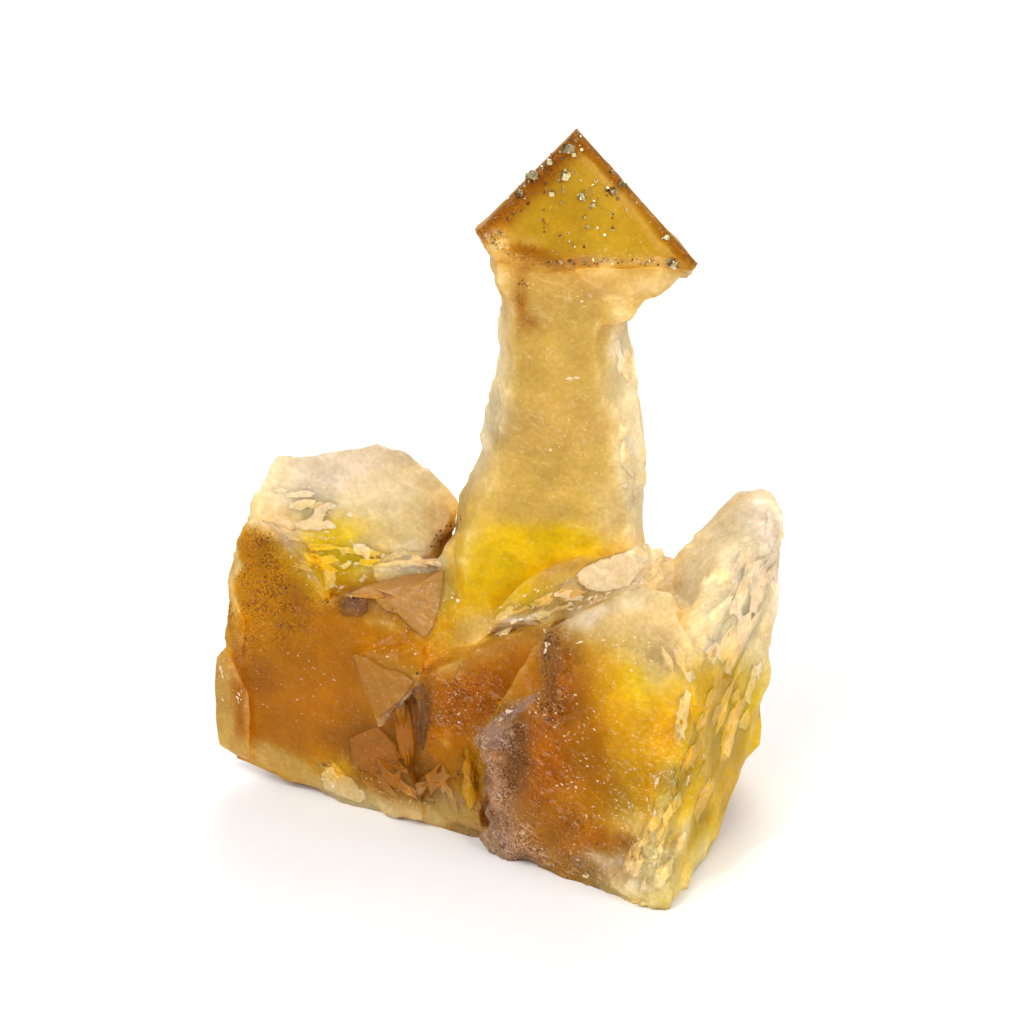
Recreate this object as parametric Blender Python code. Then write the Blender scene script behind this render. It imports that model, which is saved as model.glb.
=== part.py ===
"""Fluorite specimen: a cube crystal with sulphide grains, on a tall stalk, on a broken group of blocks.

Metres in the file, +Z up, origin on the ground under the middle of the group. The helpers take
millimetres. The front of the specimen looks along -Y.
"""
import math

import bmesh
import bpy
from mathutils import Matrix, Vector

MM = 0.001
MIDDLE = (-0.55, 1.2, 0.0)            # the origin: the ground under the middle, where Z is up

# Head: the cube crystal on top of the stalk. Its front face leans back and faces the viewer.
HEAD_APEX = (7.4, 6.0, 72.7)          # highest corner of the front face
HEAD_LEAN = 25.0                      # degrees that the front face leans back
HEAD_DEPTH = 12.0                     # front face to back face
HEAD_EDGE_CHAMFER = 0.3               # worn rim around the front face
# Front face, across and up from the apex: right corner, worn lower edge, left corner.
HEAD_OUTLINE = [(0.0, 0.2), (11.8, -13.0), (11.2, -13.7), (6.3, -13.2), (2.3, -13.3),
                (-3.1, -13.7), (-7.8, -12.5), (-9.8, -9.6)]

# Stalk rings: height, left side, front ridge, right side, front, back.
STALK_RINGS = [
    (14.0, -5.4, 12.9, 14.8, -0.5, 13.5),
    (24.0, -5.0, 12.8, 14.5, -0.3, 13.6),
    (30.0, -4.8, 12.9, 14.4, -0.2, 13.4),
    (33.0, -4.3, 12.8, 14.4, -0.1, 13.2),
    (35.1, -3.5, 12.5, 14.4, 0.0, 13.0),
    (37.3, -2.4, 12.3, 14.8, 0.1, 12.7),
    (38.9, -1.8, 12.0, 14.3, 0.2, 12.5),
    (43.8, -1.5, 11.0, 13.8, 0.3, 12.0),
    (46.5, -0.8, 10.2, 13.3, 0.4, 11.7),
    (49.7, -0.1, 9.5, 12.8, 0.5, 11.4),
    (52.3, 0.1, 9.1, 12.6, 0.5, 11.3),
    (54.8, 0.0, 9.4, 12.8, 0.4, 11.4),
    (56.5, -0.2, 11.0, 13.8, 0.4, 11.6),
    (58.9, -1.2, 13.0, 15.4, 0.6, 12.0),
    (60.9, -0.8, 12.6, 14.6, 1.2, 11.6),
]
STALK_ROUNDING = 1.3                  # how far a ring's corners are cut back

# Sulphide crystals on the head's front face: across, up (from the apex) and size.
SULPHIDES = [
    (-0.8, -1.9, 0.85), (-2.6, -3.2, 0.55), (-4.3, -4.6, 0.85), (-5.5, -6.3, 0.65),
    (-1.2, -4.5, 0.7), (-2.4, -6.2, 0.5), (0.4, -6.5, 0.6), (1.7, -7.3, 0.45),
    (3.5, -6.0, 0.7), (4.4, -5.4, 0.5), (8.7, -10.5, 0.45), (9.3, -12.9, 0.7),
]
SULPHIDE_GAP = 0.1                    # hairline between a grain and the face under it
SULPHIDE_CORNER = 0.18                # share of a grain's size that its corners are cut by
TURN_STEP = 2.4                       # radians from one grain's turn to the next

UNDERSIDE_DEPTH = 10.0                # how far the flat cut reaches below the ground plane
UNDERSIDE_WIDTH = 120.0

# Crystal blocks of the group. Each is a convex crystal given by its corners.
BLOCKS = {
    "core": [
        (-22, 9, 0), (-16, 3, 0), (-10.5, 0.6, 0), (-3, -5, 0), (19, -6, 0), (22.6, 3, 0),
        (21, 14, 0), (12, 18, 0), (-8, 18.5, 0), (-19, 15, 0),
        (-20, 9, 17), (-8, 4, 20), (4, -2, 21), (18, -4, 21), (22, 6, 21), (18, 14, 19),
        (2, 17, 20), (-16, 16, 18),
    ],
    "right_block": [
        (4.8, -6.6, 25.0), (9.8, -7, 27.4), (13.7, -8, 30.4), (15.9, -9, 29.4), (18.5, -12, 26.2),
        (18.5, -14, 20.7), (17.6, -16, 16.2), (16.7, -17.8, 11), (16.2, -19.4, 0), (13.6, -18.2, 0),
        (9.4, -15, 0), (3.8, -11, 0), (-1.2, -7.7, 0.3), (-1.3, -8.9, 6.4), (-1.8, -9.1, 11.2),
        (-1.4, -9.1, 15.3), (3.5, -9.7, 19.2),
        (18, 2, 24), (6, -1, 23), (1, 2, 12), (21, 2, 0), (1, 2, 0),
    ],
    "right_side": [
        (18.5, -11.6, 26), (18.8, -14, 19), (17.4, -16.8, 12), (16.3, -19.2, 0), (19, -13.4, 0),
        (21.3, -8, 0.6), (23.4, 0, 1.6), (23, 5, 0), (25.2, 2.4, 5.8), (26.9, 4, 9), (27.4, 4, 13),
        (27.4, 5, 18), (23, 12, 0), (26, 11, 8), (26, 11, 18), (12, 4, 0), (12, 0, 24),
    ],
    "right_side_chip": [
        (25.2, 4.4, 4), (26.8, 4.6, 5.6), (27.2, 5, 7.2), (26.9, 5.6, 10.4), (23.6, 3.2, 4.8),
        (25, 9, 4), (26.8, 9, 8), (24, 6, 10),
    ],
    "wing": [
        (16.7, 4, 25.7), (19.2, 5, 27.8), (20.6, 5.4, 29.6), (22.2, 6, 31.5), (24.7, 7, 33.2),
        (26.7, 7, 33.8), (27.7, 6, 33.3), (28.5, 5.5, 31.6), (28.7, 5, 28.7), (27.9, 4.4, 25),
        (27.8, 4, 20), (27.2, 3.4, 13), (18.6, -10.6, 25), (18.2, -11, 17),
        (18, 10, 23), (24.5, 12, 31), (27.2, 11.5, 31.2), (27.2, 11, 19), (22, 13, 12),
    ],
    "wing_tip": [
        (24.2, 6.0, 32.2), (27.4, 5.4, 32.8), (28.6, 5, 31), (28.8, 4.8, 28.6), (26.4, 4.0, 27.2),
        (27.6, 8, 33), (28.4, 9, 30), (26, 9, 28),
    ],
    "wing_step": [
        (20.2, -3.0, 24.4), (24.6, 0.4, 24.8), (26.8, 2.0, 20.4), (24.6, -1.6, 15.2), (20.8, -6.6, 17),
        (24, 6, 25), (26, 6, 17), (20, 4, 16),
    ],
    "left_wall": [
        (-26.3, 6, 31.4), (-24.4, 6, 30.8), (-20.5, 5, 26.8), (-18, 4, 22.5),
        (-26.9, 7, 27.5), (-27.8, 7, 24.7), (-28.2, 7, 21.2), (-28.6, 7, 16.6),
        (-27.8, 7.6, 2.4), (-21.1, 4.6, 1.0), (-16, 2.2, 0.3), (-15.4, 2.8, 17),
        (-26, 9.5, 29), (-25, 14, 20), (-22, 13, 3), (-17, 12, 20),
    ],
    "left_wall_rim": [
        (-25.8, 6.4, 31.2), (-23.3, 5.8, 30.8), (-20.3, 4.6, 27.6), (-17.6, 4.2, 22.8),
        (-21.2, 6.6, 28.8), (-22.2, 7.4, 29.8), (-17.4, 6.4, 23.2), (-22, 7.4, 23),
    ],
    "left_step": [
        (-29.8, 7, 10.8), (-29.5, 7, 14.6), (-28.6, 6.2, 16.2), (-29.9, 7.4, 7.2), (-29.4, 7.8, 4),
        (-26.4, 5.4, 11), (-26.4, 5.8, 3.2), (-27.8, 8, 2.4), (-28, 12, 13), (-27, 12, 5),
    ],
    "left_step_upper": [
        (-28.4, 6.6, 19.4), (-28.7, 6.6, 17), (-27, 5.8, 15.2), (-26.6, 5.6, 19.6), (-27.4, 6.2, 21.6),
        (-27, 11, 20), (-26, 10, 15),
    ],
    "left_slab": [
        (-26.3, 8, 30.6), (-25.2, 9, 32), (-23.9, 10, 33.9), (-23.1, 10.5, 35.6),
        (-20.6, 11, 35.6), (-16, 12, 35.9), (-11.6, 13, 35.9), (-9.6, 12.8, 35.4), (-7.9, 12.2, 34.3),
        (-6.7, 11.4, 32.8), (-4.5, 9, 31.1), (-7.4, 6.5, 26.8), (-17.6, 5.4, 21.5), (-10.4, 5.4, 21.5),
        (-22, 15.5, 32), (-12, 17.5, 32), (-7, 15.5, 29.5), (-25, 13, 26), (-21, 17, 14), (-8, 17, 14),
    ],
    "slab_plate": [
        (-13.2, 5.1, 26.0), (-8.8, 5.3, 27.2), (-5.5, 4.7, 26.0), (-5.7, 4.1, 24.6), (-12.4, 4.4, 24),
        (-12.6, 8, 25.6), (-8.6, 8, 26.6), (-5.8, 8, 25),
    ],
    "centre": [
        (-18, 4, 22.5), (-15.5, 4, 23), (-11.9, 4.5, 24.6), (-6.4, 4.6, 25.3), (-5.8, 4, 25.1),
        (-3, -1, 19), (-19, 4, 1), (-15.8, 1.8, 0), (-10.5, -0.3, 0), (-8.4, -1.7, 0.6), (-2.7, -4.4, 0),
        (-18, 12, 20), (-3, 12, 22), (-18, 12, 0), (-3, 10, 0),
    ],
    "tan_plate": [
        (-12.4, 3.6, 24.3), (-5.6, 3.2, 25.4), (-7.3, 0.8, 19.1), (-10.9, 2.0, 22.3),
        (-12.4, 6, 24), (-5.6, 6, 24.9), (-7.3, 5, 18),
    ],
    "blade": [
        (-15.4, 1.3, 17.8), (-12.6, -1.5, 11.4), (-8.7, -1.7, 15.8), (-8.0, -0.4, 19.4),
        (-14.4, 3.5, 18.4), (-12.4, 2, 11), (-7, 3, 19),
    ],
    "amber_wedge": [
        (-8.6, -2.2, 16.5), (-5.2, -3.2, 18.9), (-2.1, -4, 21.1), (0.9, -4.8, 23), (2.9, -5, 24),
        (5.2, -5.2, 24.8), (-7.9, -3.4, 5.9), (-3.2, -5, 3), (3.4, -6.1, 17.6), (0, -6.2, 10),
        (-6.3, -2.8, 1), (-2.7, -5.6, 1), (-5.5, 3, 18.6), (4, 2, 23.2), (-7, 2, 5), (3, 0, 6),
    ],
    "wedge_foot": [
        (-7.4, -3.6, 11.6), (-3.0, -6.2, 9.4), (-2.2, -7.4, 3.8), (-6.2, -4.8, 5.2), (-1.8, -6.8, 0.9),
        (-5.8, -3.6, 1.2), (-3, 0, 10), (-2, 0, 2),
    ],
    "foot_chip": [
        (-14.5, 0.8, 4), (-9.6, -2.2, 6.6), (-8, -3.4, 1.2), (-12, -0.8, 0.2), (-9, 2, 8), (-14, 3, 2),
    ],
    "stalk_foot": [
        (-6.4, 4.2, 27.4), (-4.6, 4.6, 30.6), (-3.6, 1.2, 24.6), (-6.2, 1.8, 21), (-3, -2, 20.8),
        (-7.2, 0.4, 18.6), (-0.2, -2.4, 22.8), (2, 1, 24), (-4, 9, 28), (-6, 8, 22), (2, 6, 18),
    ],
    "head_flare": [
        (18.7, 0.5, 60.5), (16.4, 0.6, 58.4), (14.0, 0.5, 57.2), (11.0, 0.2, 57.1), (7.5, 0.1, 60.2),
        (11.5, 4.2, 57.2), (15.8, 5, 57.4), (18.0, 4.4, 58.6), (9, 4, 60.2), (16, 3.4, 60.2),
    ],
    "flare_foot": [
        (14.1, 0.6, 57.4), (12.8, 0.9, 55.4), (12.6, 1.8, 54.4), (9.6, 0.3, 54.6), (10.6, 0.1, 57.4),
        (13.0, 4.6, 54.6), (14.3, 4.6, 57.4), (10, 4.6, 56),
    ],
    "saddle": [
        (12, -2.6, 24), (17.6, -3.4, 24.4), (18.6, 3.6, 26.6), (14.2, 3.6, 26.8), (17.4, 8, 25.6),
        (13, 8, 26), (12, 2, 18), (18, 2, 18),
    ],
    "ledge": [
        (-1.6, -3, 23.5), (0.4, -2.6, 25.8), (1.9, -2.2, 27.5), (5.9, -1.6, 29.7), (8.9, -1.4, 30.4),
        (11.9, -1.4, 30.3), (9.9, -5.2, 26.2), (4.7, -4.6, 24.6), (0, 1, 22), (6, 2, 28),
        (12, 2, 28), (6, 0, 20), (13, 0, 20),
    ],
    "cream_plate": [
        (7.4, -2.8, 28.8), (8.9, -2.6, 30.3), (11.9, -2.4, 31.2), (14.7, -2.2, 32), (15.3, -2.6, 30.6),
        (14.9, -4.2, 28.4), (13.8, -5, 27.9), (9.9, -4.6, 27), (8.1, -3.6, 27.5),
        (9.4, -0.6, 29.6), (14.6, -0.6, 31.2), (14, -1, 27),
    ],
    "cream_tip": [
        (14.4, -3.6, 28.6), (14.9, -2.4, 30.4), (16.2, -1.8, 31), (16.5, -2.2, 29.8), (15.4, -3.8, 28),
        (15.8, -0.4, 30.4), (15, -0.6, 27.6), (13.6, -2, 27),
    ],
    "front_chip": [
        (11, -17.2, 1.4), (13.8, -18.6, 0.6), (16.2, -19.6, 0.4), (16.9, -19, 4.6), (18.1, -16.2, 1),
        (12.8, -17.8, 5.2), (17.4, -15.6, 6), (11, -14, 1),
    ],
    "ridge_chip": [
        (17.0, -16.3, 17), (18.9, -14.2, 21), (19.1, -13.8, 18.4), (18, -16.0, 13.8),
        (16.6, -14.8, 19), (18, -12, 18),
    ],
    "lens_chip": [
        (14.4, -18.1, 11.2), (17.2, -17.6, 13.6), (17.4, -18.3, 9), (15.2, -18.9, 7.2),
        (16, -14, 12), (17.6, -14, 8),
    ],
    "back_shelf": [
        (-17, 13, 0.6), (-16, 19.4, 1), (-4, 20.4, 0.4), (3, 19, 0.8), (-16.5, 18.6, 13),
        (-5, 20.0, 15.6), (2, 18, 13), (-15, 12, 16), (0, 12, 18),
    ],
    "back_chip": [
        (-14, 18, 17.5), (-7, 19.4, 19.4), (-10, 16, 23), (-12, 13, 14), (-6, 13, 15), (-15, 14, 20),
    ],
}

# Cube crystals at the back: middle, edge length, and turns about X, Y and Z in degrees.
BACK_CUBES = [
    ("back_cube_right", (12.5, 11.0, 15.0), 12.0, (24, -32, 12)),
    ("back_cube_left", (-7.0, 12.6, 18.6), 9.6, (-38, 16, 30)),
    ("back_cube_low", (6.5, 14.0, 7.5), 10.0, (14, 28, -24)),
    ("back_cube_side", (20.6, 8.6, 10.5), 8.2, (-20, 34, 18)),
    ("head_back_cube", (5.2, 13.0, 60.0), 6.4, (20, 40, -8)),
]


def clear_scene():
    for item in list(bpy.data.objects):
        bpy.data.objects.remove(item, do_unlink=True)


def material(name, colour, roughness, metallic):
    made = bpy.data.materials.new(name)
    made.use_nodes = True
    shader = made.node_tree.nodes["Principled BSDF"]
    shader.inputs["Base Color"].default_value = (*colour, 1.0)
    shader.inputs["Roughness"].default_value = roughness
    shader.inputs["Metallic"].default_value = metallic
    return made


def add_object(name, bm, finish=None):
    """Put a bmesh, in millimetres, into the scene as an object in metres, about the origin."""
    bmesh.ops.translate(bm, vec=-Vector(MIDDLE), verts=bm.verts)
    bmesh.ops.scale(bm, vec=(MM, MM, MM), verts=bm.verts)
    bmesh.ops.recalc_face_normals(bm, faces=bm.faces)
    mesh = bpy.data.meshes.new(name)
    bm.to_mesh(mesh)
    bm.free()
    made = bpy.data.objects.new(name, mesh)
    bpy.context.scene.collection.objects.link(made)
    if finish:
        mesh.materials.append(finish)
    return made


def as_guide(made):
    made.hide_render = True
    made.display_type = "WIRE"
    return made


def hull(corners):
    """A convex crystal with these corners."""
    bm = bmesh.new()
    for corner in corners:
        bm.verts.new(corner)
    result = bmesh.ops.convex_hull(bm, input=bm.verts)
    loose = [part for part in result["geom_interior"] if isinstance(part, bmesh.types.BMVert)]
    bmesh.ops.delete(bm, geom=loose, context="VERTS")
    return bm


def loft(rings):
    """A closed solid through rings of equal length, each a list of points."""
    bm = bmesh.new()
    levels = [[bm.verts.new(point) for point in ring] for ring in rings]
    count = len(levels[0])
    for below, above in zip(levels, levels[1:]):
        for i in range(count):
            j = (i + 1) % count
            bm.faces.new((below[i], below[j], above[j], above[i]))
    bm.faces.new(levels[0][::-1])
    bm.faces.new(levels[-1])
    return bm


def head_frame():
    """From the head's own across, up and out-of-the-face axes to the specimen's axes."""
    lean = Matrix.Rotation(math.radians(90.0 - HEAD_LEAN), 4, "X")
    return Matrix.Translation(HEAD_APEX) @ lean


def head_ring(depth, inset):
    """The head's outline at a depth behind the front face, pulled in towards its middle."""
    middle = Vector((1.0, -8.0))
    ring = []
    for across, up in HEAD_OUTLINE:
        arm = Vector((across, up)) - middle
        point = middle + arm * (1.0 - inset / arm.length)
        ring.append(head_frame() @ Vector((point.x, point.y, -depth)))
    return ring


def head():
    chamfer = HEAD_EDGE_CHAMFER
    return loft([
        head_ring(0.0, chamfer),
        head_ring(chamfer, 0.0),
        head_ring(HEAD_DEPTH - 1.0, 0.1),
        head_ring(HEAD_DEPTH, 1.1),
    ])


def stalk_ring(height, left, ridge, right, front, back):
    cut = STALK_ROUNDING
    middle = (front + back) / 2
    centre = (left + ridge) / 2
    return [
        (left + cut, front + 0.4, height), (centre, front - 0.3, height), (ridge, front, height),
        (right - 0.3, front + 3.6, height), (right, middle + 1.0, height),
        (right - cut, back - cut, height), (centre + 1.5, back, height),
        (left + 2 * cut, back - cut, height), (left, middle, height),
        (left + 0.4, front + 2.2, height),
    ]


def cube(middle, edge, turns):
    bm = bmesh.new()
    bmesh.ops.create_cube(bm, size=edge)
    turn = Matrix.Identity(4)
    for axis, angle in zip("XYZ", turns):
        turn = Matrix.Rotation(math.radians(angle), 4, axis) @ turn
    bmesh.ops.transform(bm, matrix=Matrix.Translation(middle) @ turn, verts=bm.verts)
    return bm


def flat_cut():
    """Everything below the ground plane, which the specimen is cut flat along."""
    bm = bmesh.new()
    bmesh.ops.create_cube(bm, size=1.0)
    size = (UNDERSIDE_WIDTH, UNDERSIDE_WIDTH, UNDERSIDE_DEPTH)
    bmesh.ops.scale(bm, vec=size, verts=bm.verts)
    bmesh.ops.translate(bm, vec=(0, 0, -UNDERSIDE_DEPTH / 2), verts=bm.verts)
    return bm


def grow_together(body, blocks):
    """Join the blocks to the body in one exact union."""
    group = bpy.data.collections.new("grown_blocks")
    for block in blocks:
        group.objects.link(block)
    union = body.modifiers.new("grow_together", "BOOLEAN")
    union.operation = "UNION"
    union.solver = "EXACT"
    union.operand_type = "COLLECTION"
    union.collection = group


def cut_flat(body, guide):
    cut = body.modifiers.new("cut_flat", "BOOLEAN")
    cut.operation = "DIFFERENCE"
    cut.solver = "EXACT"
    cut.object = guide


def fluorite():
    """One solid: the head, the stalk and every block of the group, grown together."""
    finish = material("fluorite_honey", (0.86, 0.60, 0.16), 0.22, 0.0)
    body = add_object("fluorite", hull(BLOCKS["core"]), finish)
    grown = {name: hull(corners) for name, corners in BLOCKS.items() if name != "core"}
    grown["stalk"] = loft([stalk_ring(*ring) for ring in STALK_RINGS])
    grown["head"] = head()
    for name, middle, edge, turns in BACK_CUBES:
        grown[name] = cube(middle, edge, turns)
    grow_together(body, [as_guide(add_object("grow_" + name, bm)) for name, bm in grown.items()])
    cut_flat(body, as_guide(add_object("flat_cut", flat_cut())))


def sulphide(number, across, up, size, finish):
    """One sulphide crystal, a cube with cut corners, lying a hairline clear of the head's face."""
    bm = bmesh.new()
    bmesh.ops.create_cube(bm, size=size)
    bmesh.ops.bevel(bm, geom=list(bm.verts), offset=size * SULPHIDE_CORNER, segments=1,
                    profile=0.5, affect="VERTICES")
    turn = Matrix.Rotation(number * TURN_STEP, 4, "Z") @ Matrix.Rotation(number * TURN_STEP, 4, "X")
    bmesh.ops.transform(bm, matrix=turn, verts=bm.verts)
    lowest = min(vert.co.z for vert in bm.verts)
    rest = Matrix.Translation((across, up, SULPHIDE_GAP - lowest))
    bmesh.ops.transform(bm, matrix=head_frame() @ rest, verts=bm.verts)
    add_object(f"sulphide_{number:02d}", bm, finish)


def main():
    clear_scene()
    fluorite()
    finish = material("sulphide_gold", (0.72, 0.64, 0.42), 0.25, 1.0)
    for number, (across, up, size) in enumerate(SULPHIDES, start=1):
        sulphide(number, across, up, size, finish)


main()
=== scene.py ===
"""Looks of the fluorite specimen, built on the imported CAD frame.

The fluorite is a finely divided copy of its CAD solid with cleavage relief, chipped rims, colour zones and
a see-through material. Cleavage plates, flakes, chips, crust, specks and sulphide crystals are meshes of
their own, laid on its surface.
Lengths in tables are millimetres in part.py's coordinates, and pixels are those of the camera's
1024 x 1024 frame.
"""

import math

import bmesh
import bpy
import numpy as np
from mathutils import Matrix, Vector
from mathutils.bvhtree import BVHTree
from mathutils.kdtree import KDTree


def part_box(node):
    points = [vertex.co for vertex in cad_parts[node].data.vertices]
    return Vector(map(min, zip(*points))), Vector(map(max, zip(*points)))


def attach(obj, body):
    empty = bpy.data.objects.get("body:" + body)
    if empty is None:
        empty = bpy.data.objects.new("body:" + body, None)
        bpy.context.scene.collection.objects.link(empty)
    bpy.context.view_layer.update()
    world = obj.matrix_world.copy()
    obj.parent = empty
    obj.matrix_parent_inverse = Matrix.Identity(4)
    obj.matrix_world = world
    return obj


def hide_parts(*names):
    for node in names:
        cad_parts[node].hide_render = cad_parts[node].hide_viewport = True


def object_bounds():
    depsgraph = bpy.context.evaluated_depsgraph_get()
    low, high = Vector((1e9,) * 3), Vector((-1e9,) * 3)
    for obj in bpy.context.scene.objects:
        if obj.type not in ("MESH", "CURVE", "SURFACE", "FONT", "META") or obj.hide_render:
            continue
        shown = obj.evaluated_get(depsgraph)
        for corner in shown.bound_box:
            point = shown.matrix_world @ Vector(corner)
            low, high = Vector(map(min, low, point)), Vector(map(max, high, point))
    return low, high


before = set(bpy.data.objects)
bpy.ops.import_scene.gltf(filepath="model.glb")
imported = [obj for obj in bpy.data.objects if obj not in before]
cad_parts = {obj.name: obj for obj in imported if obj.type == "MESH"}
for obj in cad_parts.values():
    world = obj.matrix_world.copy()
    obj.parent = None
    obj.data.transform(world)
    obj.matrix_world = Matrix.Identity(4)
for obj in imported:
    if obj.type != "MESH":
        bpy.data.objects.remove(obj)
cad_low, cad_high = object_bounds()

MM = 0.001
MIDDLE = np.array((-0.55, 1.2, 0.0))  # the frame's origin in part.py's modelling coordinates
FRAME_PIXELS = 1024

# Camera: in front of the specimen, looking down on it.
CAMERA_TARGET = (1.1, 0.0, 34.5)
CAMERA_DISTANCE = 384.0
CAMERA_ELEVATION = 25.0
CAMERA_LENS = 135.0
CAMERA_SENSOR = 36.0

# The fluorite's mesh, in millimetres.
EDGE_LENGTH = 0.53  # longest edge of the fluorite mesh where the camera sees it
HIDDEN_EDGE_LENGTH = 1.4  # elsewhere
CUT_EDGE_LENGTH = 2.0  # on the flat cut
HEAD_EDGE_LENGTH = 0.32  # and on the head's face
SEEN_MARGIN = 1.0  # how far behind what the camera sees still counts as seen
RIM_ANGLE = math.radians(25)  # edges at least this sharp are rims
RIM_SPACING = 0.3  # between places along a rim
CHIP_COUNT = 700  # chips broken from the rims
CHIP_DEPTHS = (0.10, 0.65)  # how deep they cut
CHIP_REACH = (0.7, 2.4)  # and how far along and beside the rim
CHIP_FLOOR = 0.6  # no chips this near the flat cut
CHIP_LEAN = 0.25  # how far chips lean from the rim's own direction
CHIP_POWER = 1.5  # higher makes deep chips rarer
WELD = 1e-6  # corners of the CAD mesh closer than this, in metres, are one
CUT_HEIGHT = 1e-5  # points lower than this, in metres, lie on the flat cut
SHARP_ANGLE = math.radians(24)  # edges sharper than this are not smoothed


# ---------------------------------------------------------------- places

def to_frame(point):
    """From part.py's millimetres to the frame's metres."""
    return Vector((np.asarray(point, dtype=float) - MIDDLE) * MM)


def camera_axes():
    """Right, up and forward of the camera, as unit vectors."""
    tilt = math.radians(CAMERA_ELEVATION)
    forward = np.array((0.0, math.cos(tilt), -math.sin(tilt)))
    up = np.array((0.0, math.sin(tilt), math.cos(tilt)))
    return np.array((1.0, 0.0, 0.0)), up, forward


RIGHT, UP, FORWARD = camera_axes()
CAMERA_PLACE = np.array(to_frame(CAMERA_TARGET)) - FORWARD * CAMERA_DISTANCE * MM
PIXELS_PER_SLOPE = CAMERA_LENS / CAMERA_SENSOR * FRAME_PIXELS


def to_pixels(points):
    """Pixel across, pixel down and depth in millimetres of points in the frame."""
    arm = points - CAMERA_PLACE
    depth = arm @ FORWARD
    across = FRAME_PIXELS / 2 + PIXELS_PER_SLOPE * (arm @ RIGHT) / depth
    down = FRAME_PIXELS / 2 - PIXELS_PER_SLOPE * (arm @ UP) / depth
    return across, down, depth / MM


def pixel_ray(across, down):
    """The direction in which the camera sees a pixel."""
    slope_right = (across - FRAME_PIXELS / 2) / PIXELS_PER_SLOPE
    slope_up = (FRAME_PIXELS / 2 - down) / PIXELS_PER_SLOPE
    return Vector(FORWARD + RIGHT * slope_right + UP * slope_up).normalized()


def surface_tree(mesh):
    points = [vert.co.copy() for vert in mesh.vertices]
    return BVHTree.FromPolygons(points, [tuple(face.vertices) for face in mesh.polygons])


def on_surface(tree, across, down):
    """Where the camera sees the surface at a pixel: the place and the outward normal, or nothing."""
    place, normal, _, _ = tree.ray_cast(Vector(CAMERA_PLACE), pixel_ray(across, down))
    return place, normal


# ---------------------------------------------------------------- noise on arrays of points

def lattice_random(cell, seed):
    """A repeatable random number from 0 to 1 for each whole-number cell, an array of rows of three."""
    c = cell.astype(np.int64)
    mixed = (c[:, 0] * 374761393 + c[:, 1] * 668265263 + c[:, 2] * 2147483647 + seed * 974634777) & 0xFFFFFFFF
    mixed = ((mixed ^ (mixed >> 13)) * 1274126177) & 0xFFFFFFFF
    mixed = ((mixed ^ (mixed >> 16)) * 2246822519) & 0xFFFFFFFF
    return (mixed ^ (mixed >> 15)) / 4294967295.0


def soft_noise(points, scale, seed):
    """Smooth noise from -1 to 1, with bumps about one scale apart."""
    p = points / scale
    base = np.floor(p)
    part = p - base
    ease = part * part * (3 - 2 * part)
    total = np.zeros(len(p))
    for corner in range(8):
        step = np.array((corner & 1, corner >> 1 & 1, corner >> 2 & 1))
        weight = np.prod(np.where(step, ease, 1 - ease), axis=1)
        total += weight * lattice_random(base + step, seed)
    return total * 2 - 1


def rough_noise(points, scale, seed, octaves=3):
    """Soft noise with finer and fainter layers added, from -1 to 1."""
    total = np.zeros(len(points))
    for octave in range(octaves):
        total += soft_noise(points, scale / 2 ** octave, seed + octave) / 2 ** octave
    return total / (2 - 2 ** (1 - octaves))


def ramp(value, low, high):
    """0 below low, 1 above high and a smooth climb between."""
    t = np.clip((value - low) / (high - low), 0, 1)
    return t * t * (3 - 2 * t)


# ---------------------------------------------------------------- colour zones

# The head's corners in pixels, and the depth of its face from the camera in millimetres.
HEAD_APEX, HEAD_LEFT, HEAD_RIGHT, HEAD_LOWER_LEFT = (577, 130), (480, 228), (695, 262), (497, 255)
HEAD_FACE_DEPTH = 374.5
FACE_MARGIN = 0.6  # the face's points lie no deeper than this beyond it
HEAD_LOW = 0.058  # points of the head are higher than this, in metres
WIDE_BAND = 8  # bands that end further in than this waver and fade inwards
BAND_EDGE = 0.8  # pixels over which a band's border is soft
# Bands along the head's upper edges: look, edge, start and end in pixels from it, strength.
HEAD_BANDS = [
    ("haze", "right", 10, 24, 0.8), ("orange", "left", 0, 26, 1.0), ("orange", "right", 0, 12, 0.95),
    ("umber", "left", 0.5, 4, 0.55), ("pink", "left", -4, 0, 0.7), ("umber", "right", 0, 3, 0.6),
    ("pink", "right", -4, -0.5, 0.9), ("pink", "right", 3.0, 4.0, 0.3), ("haze", "right", 27, 28.5, 0.5),
    ("haze", "left", 30, 31, 0.35),
]

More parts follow.
